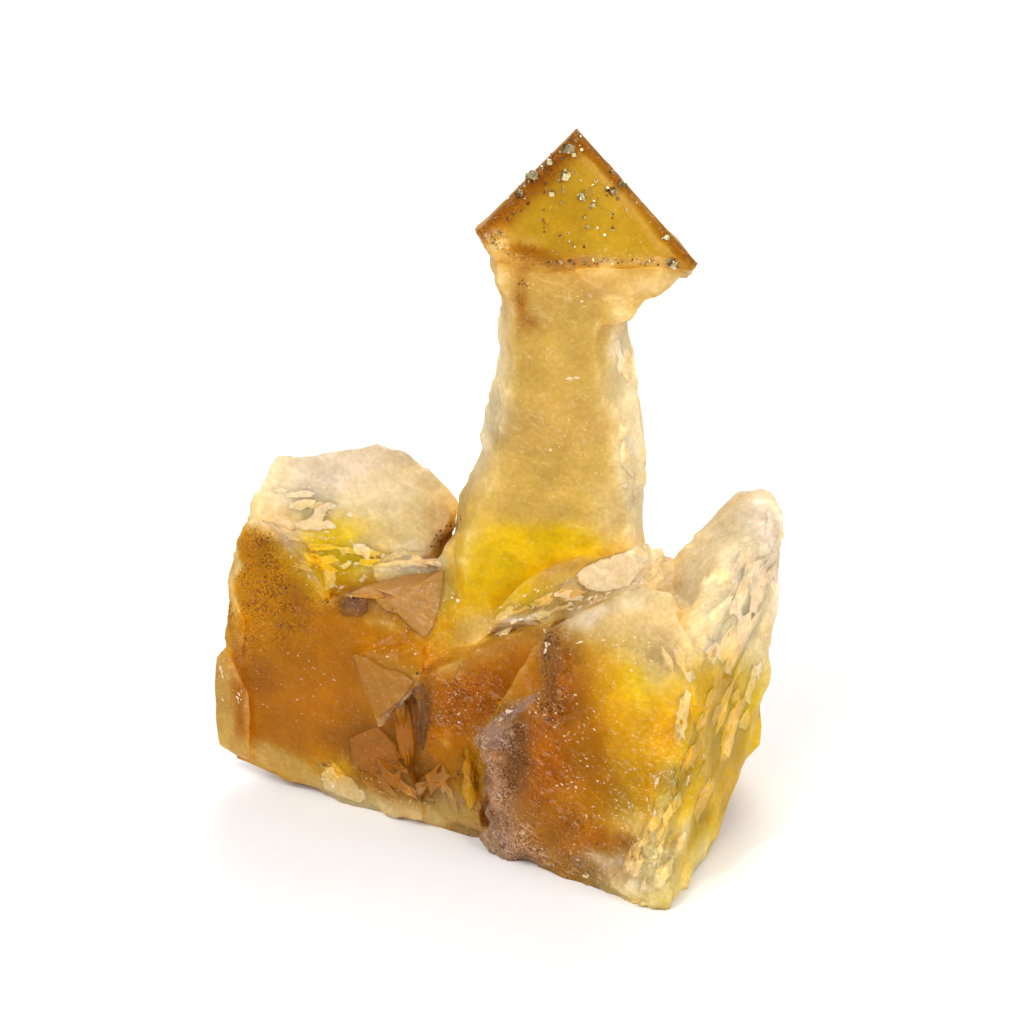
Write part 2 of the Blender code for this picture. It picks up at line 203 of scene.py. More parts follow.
# Look: colour, then how see-through, roughness, relief, dark mottling and white frost.
LOOKS = {
    "honey": ((0.64, 0.36, 0.012), 0.45, 0.10, 0.0, 0.05, 0.0),
    "core": ((0.62, 0.37, 0.018), 0.45, 0.10, 0.0, 0.0, 0.0),
    "haze": ((0.58, 0.34, 0.07), 0.25, 0.15, 0.0, 0.0, 0.0),
    "orange": ((0.42, 0.14, 0.001), 0.45, 0.14, 0.0, 0.7, 0.0),
    "pink": ((0.52, 0.30, 0.20), 0.20, 0.35, 0.0, 0.2, 0.2),
    "grit": ((0.68, 0.43, 0.11), 0.30, 0.31, 0.6, 0.3, 0.5),
    "gold": ((0.54, 0.33, 0.062), 0.25, 0.34, 0.25, 0.05, 0.2),
    "sand": ((0.52, 0.31, 0.070), 0.20, 0.38, 0.25, 0.15, 0.25),
    "straw": ((0.62, 0.43, 0.17), 0.20, 0.38, 0.5, 0.05, 0.3),
    "glow": ((0.70, 0.43, 0.001), 0.18, 0.31, 0.35, 0.0, 0.03),
    "cream": ((0.73, 0.57, 0.33), 0.20, 0.38, 0.55, 0.0, 0.35),
    "pale": ((0.84, 0.69, 0.41), 0.20, 0.38, 0.6, 0.0, 0.3),
    "milk": ((0.72, 0.58, 0.42), 0.20, 0.42, 0.45, 0.0, 0.35),
    "rose": ((0.50, 0.31, 0.155), 0.20, 0.42, 0.5, 0.1, 0.6),
    "amber": ((0.40, 0.138, 0.001), 0.22, 0.31, 0.4, 0.3, 0.03),
    "ember": ((0.46, 0.150, 0.001), 0.30, 0.31, 0.25, 0.05, 0.0),
    "ochre": ((0.58, 0.28, 0.004), 0.22, 0.31, 0.5, 0.25, 0.3),
    "olive": ((0.45, 0.178, 0.001), 0.22, 0.31, 0.45, 1.0, 0.02),
    "tan": ((0.50, 0.25, 0.055), 0.25, 0.35, 0.3, 0.2, 0.15),
    "blade": ((0.40, 0.165, 0.018), 0.20, 0.35, 0.3, 0.2, 0.1),
    "dusk": ((0.34, 0.115, 0.006), 0.20, 0.31, 0.35, 0.3, 0.05),
    "burnt": ((0.34, 0.095, 0.002), 0.20, 0.32, 0.9, 0.9, 0.45),
    "umber": ((0.18, 0.07, 0.02), 0.15, 0.50, 0.4, 0.9, 0.1),
    "rust": ((0.36, 0.15, 0.02), 0.20, 0.45, 0.25, 0.8, 0.0),
    "lilac": ((0.35, 0.205, 0.135), 0.05, 0.60, 1.2, 1.0, 0.65),
    "marigold": ((0.62, 0.34, 0.001), 0.25, 0.31, 0.5, 0.0, 0.1),
    "frost": ((0.90, 0.76, 0.58), 0.30, 0.36, 0.7, 0.0, 0.6),
    "ivory": ((0.84, 0.63, 0.34), 0.25, 0.36, 0.8, 0.0, 0.5),
    "pearl": ((0.84, 0.64, 0.30), 0.30, 0.36, 0.7, 0.0, 0.5),
    "chips": ((0.62, 0.48, 0.18), 0.15, 0.31, 1.2, 0.0, 0.6),
}

# Zones seen from the front: look, pixel across and down, half sizes in pixels, turn in degrees.
FRONT_ZONES = [
    # head
    ("core", 603, 222, 26, 20, 0), ("core", 574, 178, 16, 16, 0), ("core", 645, 245, 22, 7, 0),
    ("honey", 570, 210, 20, 26, 0), ("honey", 640, 222, 14, 14, 45), ("haze", 532, 240, 12, 8, 0),
    ("honey", 545, 225, 24, 22, 0), ("orange", 583, 145, 20, 14, 0), ("orange", 545, 168, 30, 8, -45),
    ("orange", 512, 203, 26, 8, -45), ("orange", 612, 168, 34, 5, 48), ("orange", 657, 216, 34, 4, 48),
    ("orange", 683, 252, 12, 8, 30), ("orange", 530, 252, 22, 8, 10), ("haze", 633, 205, 16, 5, 50),
    ("grit", 500, 240, 9, 22, -35), ("rust", 565, 262, 40, 4, 0), ("sand", 625, 261, 50, 3, 0),
    # stalk
    ("sand", 585, 285, 50, 13, 0), ("gold", 534, 284, 18, 8, 0), ("gold", 570, 320, 46, 20, 0),
    ("gold", 560, 370, 44, 40, 0), ("sand", 560, 425, 44, 25, 0), ("pale", 628, 420, 12, 60, -6),
    ("pale", 634, 515, 10, 40, 0), ("pale", 618, 345, 9, 34, 0), ("straw", 644, 287, 24, 8, 0),
    ("pale", 498, 345, 9, 52, 0), ("pale", 488, 430, 12, 44, 8), ("rust", 523, 292, 6, 22, 5),
    ("rust", 530, 320, 8, 7, 0), ("dusk", 525, 300, 5, 20, 5), ("sand", 545, 300, 24, 14, 0),
    ("gold", 545, 468, 55, 22, 0), ("gold", 545, 510, 60, 16, 0), ("glow", 512, 580, 46, 30, -20),
    ("glow", 560, 545, 46, 16, 0), ("straw", 612, 520, 22, 26, 0), ("gold", 448, 590, 12, 24, 0),
    ("cream", 424, 565, 16, 12, 0),
    # left slab
    ("milk", 345, 468, 50, 14, -5), ("cream", 390, 490, 36, 24, 0), ("straw", 428, 518, 20, 18, 0),
    ("pale", 270, 492, 16, 22, 0), ("straw", 296, 540, 14, 9, 40), ("glow", 330, 550, 30, 16, 0),
    ("glow", 324, 575, 12, 14, 0), ("straw", 372, 543, 34, 12, -15), ("cream", 402, 548, 24, 16, 0),
    # The umber zone at 446, 533 is a painted shadow: a dark line along a cleavage edge.
    ("glow", 360, 562, 30, 7, -15), ("umber", 446, 533, 3, 16, 45), ("cream", 282, 522, 20, 9, 20),
    # left wall
    ("olive", 258, 562, 18, 30, 0), ("olive", 270, 612, 28, 34, 0), ("dusk", 293, 600, 8, 14, -30),
    ("dusk", 258, 680, 20, 14, 0), ("straw", 235, 560, 4, 44, 0), ("rose", 285, 540, 14, 5, 50),
    ("rose", 312, 580, 14, 3, 55), ("rust", 238, 655, 6, 14, 0), ("sand", 221, 678, 8, 26, 0),
    ("gold", 224, 728, 9, 16, 0), ("dusk", 243, 704, 6, 26, 8), ("sand", 268, 756, 46, 7, 20),
    ("ember", 312, 690, 36, 40, 0), ("dusk", 340, 738, 34, 10, 15), ("cream", 250, 518, 12, 5, 0),
    ("amber", 330, 640, 20, 30, 0),
    # centre
    ("amber", 396, 642, 36, 20, 0), ("tan", 415, 595, 22, 16, 0), ("cream", 412, 566, 36, 5, -4),
    ("umber", 355, 605, 11, 6, 0), ("blade", 388, 680, 18, 20, 0), ("lilac", 398, 706, 18, 2.5, -48),
    ("ochre", 446, 625, 14, 26, 0), ("dusk", 405, 765, 30, 14, 0), ("straw", 398, 811, 44, 7, 8),
    ("gold", 456, 811, 24, 8, 10), ("straw", 342, 789, 24, 6, 20), ("ember", 404, 730, 8, 24, -10),
    ("pale", 518, 620, 36, 6, -18), ("gold", 470, 632, 24, 8, -20), ("ochre", 335, 768, 12, 8, 0),
    # wedge
    ("blade", 490, 652, 44, 6, -26), ("burnt", 460, 704, 38, 24, -30), ("ember", 525, 680, 16, 20, 0),
    ("umber", 426, 720, 5, 26, 10), ("amber", 455, 755, 18, 26, 0), ("tan", 462, 800, 20, 8, 10),
    ("ochre", 476, 780, 7, 26, 0),
    # crust
    ("rust", 549, 650, 6, 28, 8), ("lilac", 520, 706, 20, 5, -35), ("lilac", 500, 733, 16, 12, -10),
    ("umber", 524, 735, 8, 14, 0), ("lilac", 494, 788, 12, 38, 0), ("lilac", 516, 835, 30, 14, 20),
    ("umber", 515, 760, 12, 26, 0),
    # right block
    ("burnt", 562, 690, 10, 34, 0), ("umber", 551, 680, 6, 30, 5), ("burnt", 549, 750, 20, 36, 0),
    ("amber", 592, 758, 20, 52, 0), ("dusk", 580, 700, 10, 20, 0), ("ochre", 622, 745, 22, 44, 0),
    ("glow", 640, 680, 16, 20, 0), ("straw", 652, 668, 14, 20, 0), ("ochre", 608, 690, 14, 22, 0),
    ("milk", 590, 617, 26, 7, -10), ("cream", 636, 600, 18, 12, 0), ("straw", 622, 628, 34, 12, 0),
    ("straw", 650, 655, 26, 16, 0), ("straw", 670, 630, 16, 22, 0), ("burnt", 592, 842, 34, 16, 20),
    ("dusk", 548, 832, 26, 12, 15), ("milk", 606, 859, 24, 7, 25), ("burnt", 628, 838, 12, 10, 0),
    ("pale", 685, 832, 6, 26, 15), ("cream", 634, 885, 12, 5, 0), ("ochre", 656, 765, 17, 50, 0),
    ("chips", 648, 856, 30, 38, 0), ("chips", 668, 785, 9, 26, 10), ("rose", 620, 858, 8, 20, 30),
    # wing
    ("cream", 728, 560, 40, 36, 0), ("milk", 762, 520, 18, 24, 0), ("pale", 700, 585, 26, 26, 0),
    ("pale", 706, 630, 26, 20, 0), ("cream", 750, 640, 16, 30, 0), ("marigold", 716, 735, 36, 56, 0),
    ("marigold", 703, 812, 26, 50, 0), ("glow", 745, 700, 12, 30, 0), ("milk", 774, 600, 5, 60, 0),
    ("pale", 763, 712, 6, 46, 0), ("pale", 702, 850, 8, 32, 18), ("ochre", 725, 686, 14, 10, 0),
    # plates in front of the stalk
    ("cream", 625, 572, 36, 12, -10), ("cream", 657, 562, 6, 10, 0), ("tan", 560, 574, 36, 8, -25),
    ("gold", 545, 602, 44, 9, -12),
]
# Cleavage plates lying on the surface: look, how far they stand out in millimetres, then corners in pixels.
PLATES = [
    ("ivory", 0.12, ((574, 576), (583, 567), (606, 557), (630, 549), (646, 542), (652, 551), (650, 560),
                     (640, 574), (630, 587), (606, 594), (588, 590), (579, 585))),
    ("pearl", 0.12, ((652, 566), (660, 555), (666, 552), (664, 563), (655, 577), (648, 583), (643, 578))),
    ("frost", 0.12, ((552, 591), (570, 589), (585, 596), (582, 600), (560, 598), (553, 596))),
    ("frost", 0.12, ((490, 630), (512, 618), (538, 619), (540, 624), (518, 628), (499, 637))),
    ("pearl", 0.12, ((496, 621), (502, 610), (511, 604), (514, 608), (505, 619))),
    ("rose", 0.12, ((556, 585), (574, 578), (580, 586), (590, 592), (574, 590), (560, 590))),
    ("frost", 0.12, ((307, 521), (320, 505), (330, 500), (338, 503), (326, 515), (316, 526))),
    ("ivory", 0.12, ((292, 523), (312, 519), (336, 523), (338, 529), (315, 531), (296, 528))),
    ("frost", 0.12, ((353, 543), (365, 543), (374, 553), (368, 559), (356, 553))),
    ("pearl", 0.12, ((336, 548), (346, 545), (351, 551), (342, 555))),
    ("frost", 0.12, ((358, 579), (366, 573), (370, 577), (361, 582))),
    ("pearl", 0.12, ((321, 572), (333, 567), (338, 577), (334, 588), (326, 590))),
    ("frost", 0.12, ((340, 566), (347, 560), (352, 563), (344, 571))),
    ("pearl", 0.12, ((372, 566), (394, 550), (424, 551), (438, 559), (445, 568), (420, 567), (392, 569))),
    ("tan", 0.30, ((340, 596), (373, 583), (409, 574), (446, 569), (443, 598), (436, 626), (427, 640),
                   (412, 629), (397, 614), (385, 612), (374, 599))),
    ("blade", 0.25, ((352, 651), (366, 656), (386, 668), (404, 672), (417, 681), (402, 702), (380, 718),
                     (368, 702), (359, 676))),
    ("rose", 0.12, ((366, 748), (373, 744), (382, 756), (380, 764), (370, 762))),
    ("pearl", 0.12, ((319, 772), (332, 767), (352, 779), (369, 798), (364, 804), (344, 799), (324, 788))),
    ("ochre", 0.25, ((464, 744), (477, 758), (479, 788), (471, 812), (463, 796))),
    ("frost", 0.12, ((679, 700), (686, 689), (692, 692), (690, 712), (683, 738), (676, 744), (675, 722))),
    ("frost", 0.12, ((684, 672), (692, 669), (696, 678), (688, 683))),
    ("frost", 0.10, ((765, 530), (768, 510), (775, 516), (777, 540), (772, 552))),
    ("frost", 0.10, ((726, 598), (731, 594), (744, 618), (746, 634), (738, 624))),
    ("frost", 0.10, ((704, 652), (716, 640), (722, 646), (712, 664))),
    ("pearl", 0.10, ((705, 634), (716, 604), (721, 606), (712, 640))),
    ("pearl", 0.10, ((724, 668), (736, 640), (741, 642), (731, 676))),
    ("frost", 0.10, ((750, 610), (760, 574), (764, 578), (756, 616))),
    ("pearl", 0.10, ((742, 700), (754, 664), (759, 668), (748, 706))),
    ("frost", 0.10, ((755, 668), (760, 660), (762, 672), (758, 682))),
    ("pearl", 0.10, ((722, 752), (734, 716), (738, 720), (728, 758))),
    ("umber", 0.20, ((410, 690), (424, 682), (430, 712), (424, 752), (416, 738))),
    ("ember", 0.30, ((392, 708), (409, 700), (416, 742), (413, 776), (400, 752))),
    ("dusk", 0.30, ((349, 736), (378, 724), (396, 742), (404, 772), (398, 790), (374, 776), (352, 764))),
    ("blade", 0.25, ((404, 792), (428, 772), (446, 760), (452, 776), (430, 796), (412, 800))),
    ("umber", 0.30, ((339, 612), (346, 599), (368, 598), (367, 611), (360, 617), (342, 616))),
]
# Straight-edged cleavage facets: pixel across and down, half sizes, turn in degrees, count, length in pixels.
FACET_SPOTS = [
    (738, 605, 60, 24, -62, 24, 36), (715, 740, 80, 24, -72, 24, 34), (676, 650, 30, 14, 70, 6, 26),
    (655, 850, 50, 24, -70, 34, 26), (334, 556, 40, 18, 5, 14, 26), (300, 500, 30, 16, -5, 5, 26),
    (290, 540, 26, 8, 45, 5, 20), (390, 770, 50, 22, 40, 10, 26), (545, 605, 50, 10, -18, 12, 24),
    (626, 420, 90, 8, 84, 9, 34), (430, 600, 26, 10, 70, 4, 20), (455, 785, 24, 14, 60, 5, 20),
    (330, 762, 16, 12, 60, 4, 18),
]
FACET_LIFTS = (0.04, 0.15)  # how far a facet stands out, in millimetres
FACET_LEAN = 0.9  # how much more at one end than at the other
FACET_SHADES = (0.90, 1.20)  # painted light and shade: how much lighter or darker it is painted than what lies under it
FACET_UNEVEN = 0.4  # how far a facet's outline strays, in pixels
FACET_REACH = (0.3, 0.7)  # its half length, as a share of the spot's length
FACET_SLIM = (0.16, 0.42)  # its width, as a share of its length
FACET_FROST = 0.3  # the most it takes of the frosty look
PLATE_STEP = 2.2  # pixels between corners of a plate's uneven outline
STRAY_LENGTH = 8.0  # pixels between bays of the outline
PLATE_STRAY = 3.2  # how far outlines stray, in pixels; the straighter ones follow
PLATE_UNEVEN = {"tan": 0.7, "blade": 0.7, "umber": 0.7, "ember": 0.7, "dusk": 0.7, "ivory": 2.2}
FAINT_SHARE = 0.55  # how much of its own look a plate has; the exceptions follow
PLATE_SHARE = {"tan": 0.8, "blade": 0.7, "umber": 0.4, "ivory": 0.9}
EDGE_SHARE = 0.15  # how much more of it the plate has along its edge; on the pale plates and facets this is a painted highlight along the border
PLATE_RINGS = (0.5, 0.93)  # sizes of a plate's inner and outer ring, as shares of its outline
INNER_LEAN = 0.5  # how much of the inner ring's lift leans with the border's
EDGE_LIFT = 0.8  # how far the outer ring stands out, as a share of the border's lift
PLATE_REACH = 3.0  # millimetres of depth from a plate's middle within which it bends
PLATE_SINK = 0.25  # how deep a plate's underside lies in the crystal, in millimetres

# Relief of the broken faces. Its parts are in millimetres where a look's relief is 1.
SWELL = 0.30  # slow swelling
LARGE_RISE, SMALL_RISE = 1.3, 0.6  # scooped facets, as shares of their own height
CHIPPED_RISE = 0.9  # and those of the chipped lower corner
RIPPLE = 0.02  # finest unevenness
# Cleavage steps: rise, period, climb along each axis, seed.
TERRACES = [(0.42, 2.9, (0.30, 0.2, 0.9), 77), (0.26, 1.7, (0.75, -0.2, 0.55), 97)]
PAINTED_FACET_LIGHT = (0.12, 0.10)  # painted light and shade: how much facets differ in brightness, large and small ones
CREASE_SHADE = 0.16  # painted shade and light: how much darker hollows are painted than high places
CREASE_DEPTH = 0.25  # a hollow this deep, in millimetres, has the full shade
RIM_SHARE = 0.5  # how creamy the rims are, partly real bruising and partly a painted highlight on the edges
RIM_FADE = 0.5  # and how quickly that fades, in millimetres
ZONE_FALL = 2.4  # higher gives harder borders between zones
BLEND_POWER = 0.35  # colours mix more as absorbers do than as lights do
ZONE_DEPTH = 8.0  # how far in depth a zone reaches, in millimetres
ZONE_STRAY = 9  # how far its border strays, in pixels
ZONE_BAYS = 3.2  # millimetres between bays of the border
SEEN_DEPTH = 2.5  # how far behind what the camera sees the zones still act
# Beyond the zones: look, the heights where it starts and is full, and how much lower it reaches towards +X.
HIDDEN_BANDS = [("glow", 6, 13, 0.25), ("gold", 16, 22, 0), ("cream", 23, 31, 0), ("gold", 36, 46, 0)]
HEAD_LEAN = 0.47  # rise of the head's lower border for each step towards -Y
HEAD_BORDER = (60.5, 61.5)  # heights where the head's look starts and is full


def zone_weights(points, tree):
    """How strongly each front zone acts at each point: rows are points, columns are zones."""
    across, down, depth = to_pixels(points)
    across = across + ZONE_STRAY * rough_noise(points / MM, ZONE_BAYS, 11, 4)
    down = down + ZONE_STRAY * rough_noise(points / MM, ZONE_BAYS, 23, 4)
    weights = []
    for _, x, y, wide, tall, turn in FRONT_ZONES:
        place, _ = on_surface(tree, x, y)
        centre_depth = to_pixels(np.array([place]))[2][0] if place else CAMERA_DISTANCE
        angle = math.radians(turn)
        along = (across - x) * math.cos(angle) + (down - y) * math.sin(angle)
        beside = (down - y) * math.cos(angle) - (across - x) * math.sin(angle)
        reach = (along / wide) ** 2 + (beside / tall) ** 2 + ((depth - centre_depth) / ZONE_DEPTH) ** 2
        weights.append((1 + reach) ** -ZONE_FALL)
    return np.stack(weights, axis=1)


def seen_share(points, tree):
    """1 where the camera sees the point, falling to 0 for points hidden behind other parts."""
    _, _, depth = to_pixels(points)
    start = Vector(CAMERA_PLACE)
    first = np.empty(len(points))
    for index, point in enumerate(points):
        arm = Vector(point) - start
        place, _, _, _ = tree.ray_cast(start, arm.normalized())
        first[index] = (place - start).length / arm.length * depth[index] if place else depth[index]
    return np.exp(-(np.maximum(depth - first, 0) / SEEN_DEPTH) ** 2)


def look_row(name):
    """A look as eight numbers, its colour in the scale in which colours are blended."""
    colour, *finish = LOOKS[name]
    return np.array((*np.array(colour) ** BLEND_POWER, *finish))


def blend_rows(first, second, share):
    return first * (1 - share[:, None]) + second * share[:, None]


def hidden_looks(points):
    """The looks where the front zones don't reach: honey head, cream top, golden and amber below."""
    mm = points / MM
    cloud = rough_noise(mm, 7.0, 41)
    height = mm[:, 2] + 5 * cloud
    rows = np.tile(look_row("amber"), (len(mm), 1))
    for look, start, full, slope in HIDDEN_BANDS:
        rows = blend_rows(rows, look_row(look), ramp(height + slope * mm[:, 0], start, full))
    on_head = ramp(mm[:, 2] + HEAD_LEAN * mm[:, 1], *HEAD_BORDER)
    rows = blend_rows(rows, look_row("amber"), on_head)
    rows = blend_rows(rows, look_row("honey"), on_head * ramp(rough_noise(mm, 6.0, 43), -0.1, 0.4))
    return rows


def line_distance(across, down, start, end):
    """Pixels from a line through two pixels, positive on its right-hand side going from start to end."""
    (x0, y0), (x1, y1) = start, end
    return ((down - y0) * (x1 - x0) - (across - x0) * (y1 - y0)) / math.hypot(x1 - x0, y1 - y0)


def head_bands(points, rows):
    """Growth bands along the head's two upper edges: pink rim, dark line, orange, then the honey core."""
    across, down, depth = to_pixels(points)
    near_left = line_distance(across, down, HEAD_LEFT, HEAD_APEX)
    near_right = line_distance(across, down, HEAD_APEX, HEAD_RIGHT)
    wobble = 1.5 * rough_noise(points / MM, 1.2, 31) + 3 * rough_noise(points / MM, 4.0, 37)
    on_face = ramp(-line_distance(across, down, HEAD_LOWER_LEFT, HEAD_RIGHT) + 6, 0, 8)
    on_face = on_face * (down < HEAD_RIGHT[1] + 4) * (np.minimum(near_left, near_right) > -3)
    on_face = on_face * (depth < HEAD_FACE_DEPTH + FACE_MARGIN)
    for look, edge, start, end, share in HEAD_BANDS:
        wide = end > WIDE_BAND
        reach = (near_left if edge == "left" else near_right) + wobble * wide
        inside = ramp(reach, start - BAND_EDGE, start + BAND_EDGE)
        inside = inside * ramp(-reach, -end - BAND_EDGE, -end + BAND_EDGE)
        fade = 1 - ramp(reach, start, end) * wide
        rows = blend_rows(rows, look_row(look), on_face * inside * fade * share)
    return rows


def looks_at(points, tree):
    """Colour and finish at each point, as rows of eight."""
    weights = zone_weights(points, tree)
    table = np.array([look_row(zone[0]) for zone in FRONT_ZONES])
    total = weights.sum(axis=1)
    front = weights @ table / total[:, None]
    rows = blend_rows(hidden_looks(points), front, ramp(total, 0.01, 0.06) * seen_share(points, tree))
    return head_bands(points, rows)


def neck_share(points):
    """1 on the stalk's neck just under the head, where level growth lines show."""
    _, down, depth = to_pixels(points)
    return ramp(-down, -335, -275) * (depth > HEAD_FACE_DEPTH + FACE_MARGIN) * ramp(down, 262, 268)


# ---------------------------------------------------------------- the fluorite mesh

def welded_triangles(mesh):
    """The mesh's points and triangles as arrays, with doubled corners made one."""
    bm = bmesh.new()
    bm.from_mesh(mesh)
    bmesh.ops.remove_doubles(bm, verts=bm.verts, dist=WELD)
    bmesh.ops.triangulate(bm, faces=bm.faces)
    bm.verts.index_update()
    points = np.array([vert.co for vert in bm.verts])
    faces = np.array([[vert.index for vert in face.verts] for face in bm.faces])
    bm.free()
    return points, faces


def cut_edges(points, faces, limit):
    """Edges too long for their place, and with them the longest edge of every face that is cut."""
    sides = np.sort(faces[:, [[0, 1], [1, 2], [2, 0]]], axis=2).astype(np.int64)
    keys, which = np.unique((sides[:, :, 0] * len(points) + sides[:, :, 1]).ravel(), return_inverse=True)
    which = which.reshape(-1, 3)
    start, end = keys // len(points), keys % len(points)
    middle = (points[start] + points[end]) / 2
    size = np.linalg.norm(points[start] - points[end], axis=1) * (1 + 1e-9 * (keys % 9973))
    longest = np.argmax(size[which], axis=1)
    worst = which[np.arange(len(faces)), longest]
    cut = size > limit(middle, size)
    while True:
        missed = cut[which].any(axis=1) & ~cut[worst]
        if not missed.any():
            return middle, which, longest, cut
        cut[worst[missed]] = True


def divide(points, faces, limit):
    """Cut triangles until no edge is longer than its limit, leaving flat faces exactly flat."""
    while True:
        middle, which, longest, cut = cut_edges(points, faces, limit)
        if not cut.any():
            return points, faces
        added = np.full(len(cut), -1)
        added[cut] = len(points) + np.arange(cut.sum())
        points = np.concatenate([points, middle[cut]])
        order = (longest[:, None] + np.arange(3)) % 3
        faces = np.take_along_axis(faces, order, axis=1)
        splits = np.take_along_axis(added[which], order, axis=1)
        whole = splits[:, 0] < 0
        (a, b, c), (ab, bc, ca) = faces[~whole].T, splits[~whole].T
        parts = [faces[whole]]
        for mask, corners in ((bc < 0, (ab, b, c)), (bc >= 0, (ab, b, bc)), (bc >= 0, (ab, bc, c)),
                              (ca < 0, (a, ab, c)), (ca >= 0, (a, ab, ca)), (ca >= 0, (ca, ab, c))):
            parts.append(np.stack(corners, axis=1)[mask])
        faces = np.concatenate(parts)


def edge_limit(tree):
    """A rule for the longest edge at each place: short where the camera sees the surface."""
    start = Vector(CAMERA_PLACE)

    def limit(points, size):
        lengths = np.full(len(points), HIDDEN_EDGE_LENGTH)
        for index in np.nonzero(size > EDGE_LENGTH * MM)[0]:
            arm = Vector(points[index]) - start
            place, _, _, _ = tree.ray_cast(start, arm.normalized())
            if place is None or arm.length - (place - start).length < SEEN_MARGIN * MM:
                lengths[index] = EDGE_LENGTH
        on_head = (points[:, 2] > HEAD_LOW) & (to_pixels(points)[2] < HEAD_FACE_DEPTH + 0.5)
        lengths[on_head] = HEAD_EDGE_LENGTH
        lengths[points[:, 2] < CUT_HEIGHT] = CUT_EDGE_LENGTH
        return lengths * MM

    return limit


def vertex_normals(points, faces):
    """Outward directions at the points, as unit vectors."""
    a, b, c = (points[faces[:, i]] for i in range(3))
    flat = np.cross(b - a, c - a)
    total = np.zeros_like(points)
    for i in range(3):
        np.add.at(total, faces[:, i], flat)
    return total / np.maximum(np.linalg.norm(total, axis=1), 1e-12)[:, None]


def facets(points, scale, seed, curve):
    """Scooped facets meeting in ridges: height in millimetres and each facet's own number from -1 to 1."""
    base = np.floor(points / scale)
    best = np.full(len(points), 9.0)
    number = np.zeros(len(points))
    for shift in np.ndindex(3, 3, 3):
        cell = base + np.array(shift) - 1
        random = np.stack([lattice_random(cell, seed + k) for k in range(7)], axis=1)
        arm = points - (cell + random[:, :3]) * scale
        bowl = curve / scale * np.einsum("ij,ij->i", arm, arm)
        tilt = np.einsum("ij,ij->i", arm, random[:, 3:6] - 0.5) * curve
        height = bowl + tilt + random[:, 6] * 0.3 * curve * scale
        number = np.where(height < best, random[:, 3] + random[:, 6] - 1, number)
        best = np.minimum(best, height)
    return best, number


def terraces(points, period, lean, seed):
    """Cleavage steps: a slow climb that drops back once a period."""
    climb = points @ np.array(lean) / period + 0.5 * rough_noise(points, 7.0, seed)
    part = climb - np.floor(climb)
    patchy = ramp(rough_noise(points, 6.0, seed + 3), 0.0, 0.2)
    return (np.minimum(part, (1 - part) * 9) - 0.4) * patchy


def relief_height(mm, relief):
    """Broken-crystal relief in millimetres, and how much brighter each facet is painted, as painted light and
    shade.
    """
    height = SWELL * rough_noise(mm, 7.0, 3)
    large, large_number = facets(mm, 5.0, 51, 0.26)
    small, small_number = facets(mm, 1.9, 71, 0.30)
    height += LARGE_RISE * (large - 0.3)
    height += SMALL_RISE * (small - 0.1) * ramp(rough_noise(mm, 5.0, 76), -0.2, 0.3)
    for rise, period, lean, seed in TERRACES:
        height += rise * terraces(mm, period, lean, seed)
    height += RIPPLE * rough_noise(mm, 0.9, 61, 2)
    height += CHIPPED_RISE * (facets(mm, 2.6, 151, 0.45)[0] - 0.3) * ramp(relief, 0.7, 1.1)
    # Painted light and shade: each facet lighter or darker at random, as if it faced the light differently.
    painted_facet_light = PAINTED_FACET_LIGHT[0] * large_number + PAINTED_FACET_LIGHT[1] * small_number
    return height * relief, painted_facet_light * ramp(relief, 0.1, 0.4)


def rim_spots(mesh):
    """Places along the outward edges of the CAD solid with the mean normal of the two faces."""
    bm = bmesh.new()
    bm.from_mesh(mesh)
    bmesh.ops.remove_doubles(bm, verts=bm.verts, dist=WELD)
    bm.normal_update()
    spots = []
    for edge in bm.edges:
        if edge.is_convex and edge.calc_face_angle(0) > RIM_ANGLE:
            a, b = (vert.co for vert in edge.verts)
            normal = (edge.link_faces[0].normal + edge.link_faces[1].normal).normalized()
            count = max(1, int(edge.calc_length() / (RIM_SPACING * MM)))
            spots += [(a.lerp(b, i / count), normal) for i in range(count + 1)]
    bm.free()
    return spots


def chip_edges(points, spots, open_share, rng):
    """Break flat chips off the rims: near each chosen spot, what stands above a plane is pressed onto it."""
    for pick in rng.choice(len(spots), CHIP_COUNT, replace=False):
        place, normal = spots[pick]
        if place.z < CHIP_FLOOR * MM:
            continue
        lean = np.array(normal) + rng.normal(size=3) * CHIP_LEAN
        lean /= np.linalg.norm(lean)
        depth = rng.uniform(*CHIP_DEPTHS) ** CHIP_POWER * MM
        arm = points - np.array(place)
        near = np.einsum("ij,ij->i", arm, arm) < (rng.uniform(*CHIP_REACH) * MM) ** 2
        above = np.maximum(arm[near] @ lean + depth, 0) * open_share[near]
        points[near] -= np.minimum(above, 2 * depth)[:, None] * lean
    return points


def rim_distance(spots, points):
    """Distance in millimetres from each point to the nearest rim."""
    tree = KDTree(len(spots))
    for index, (place, _) in enumerate(spots):
        tree.insert(place, index)
    tree.balance()
    return np.array([tree.find(point)[2] for point in points]) / MM


def linked(name, data):
    """A new object in the scene."""
    piece = bpy.data.objects.new(name, data)
    bpy.context.scene.collection.objects.link(piece)
    return piece


def new_object(name, mesh, material):
    mesh.materials.append(material)
    return linked(name, mesh)


def coloured_mesh(name, points, faces, rows, neck):
    """A mesh inside the CAD model's outer box that carries its looks as colour attributes."""
    mesh = bpy.data.meshes.new(name)
    mesh.from_pydata(np.clip(points, np.array(cad_low), np.array(cad_high)), [], faces)
    mesh.shade_smooth()
    mesh.set_sharp_from_angle(angle=SHARP_ANGLE)
    store(mesh, "tint", rows[:, :3])
    store(mesh, "finish", rows[:, 3:6])
    store(mesh, "marks", np.column_stack([rows[:, 6:8], neck]))
    return mesh


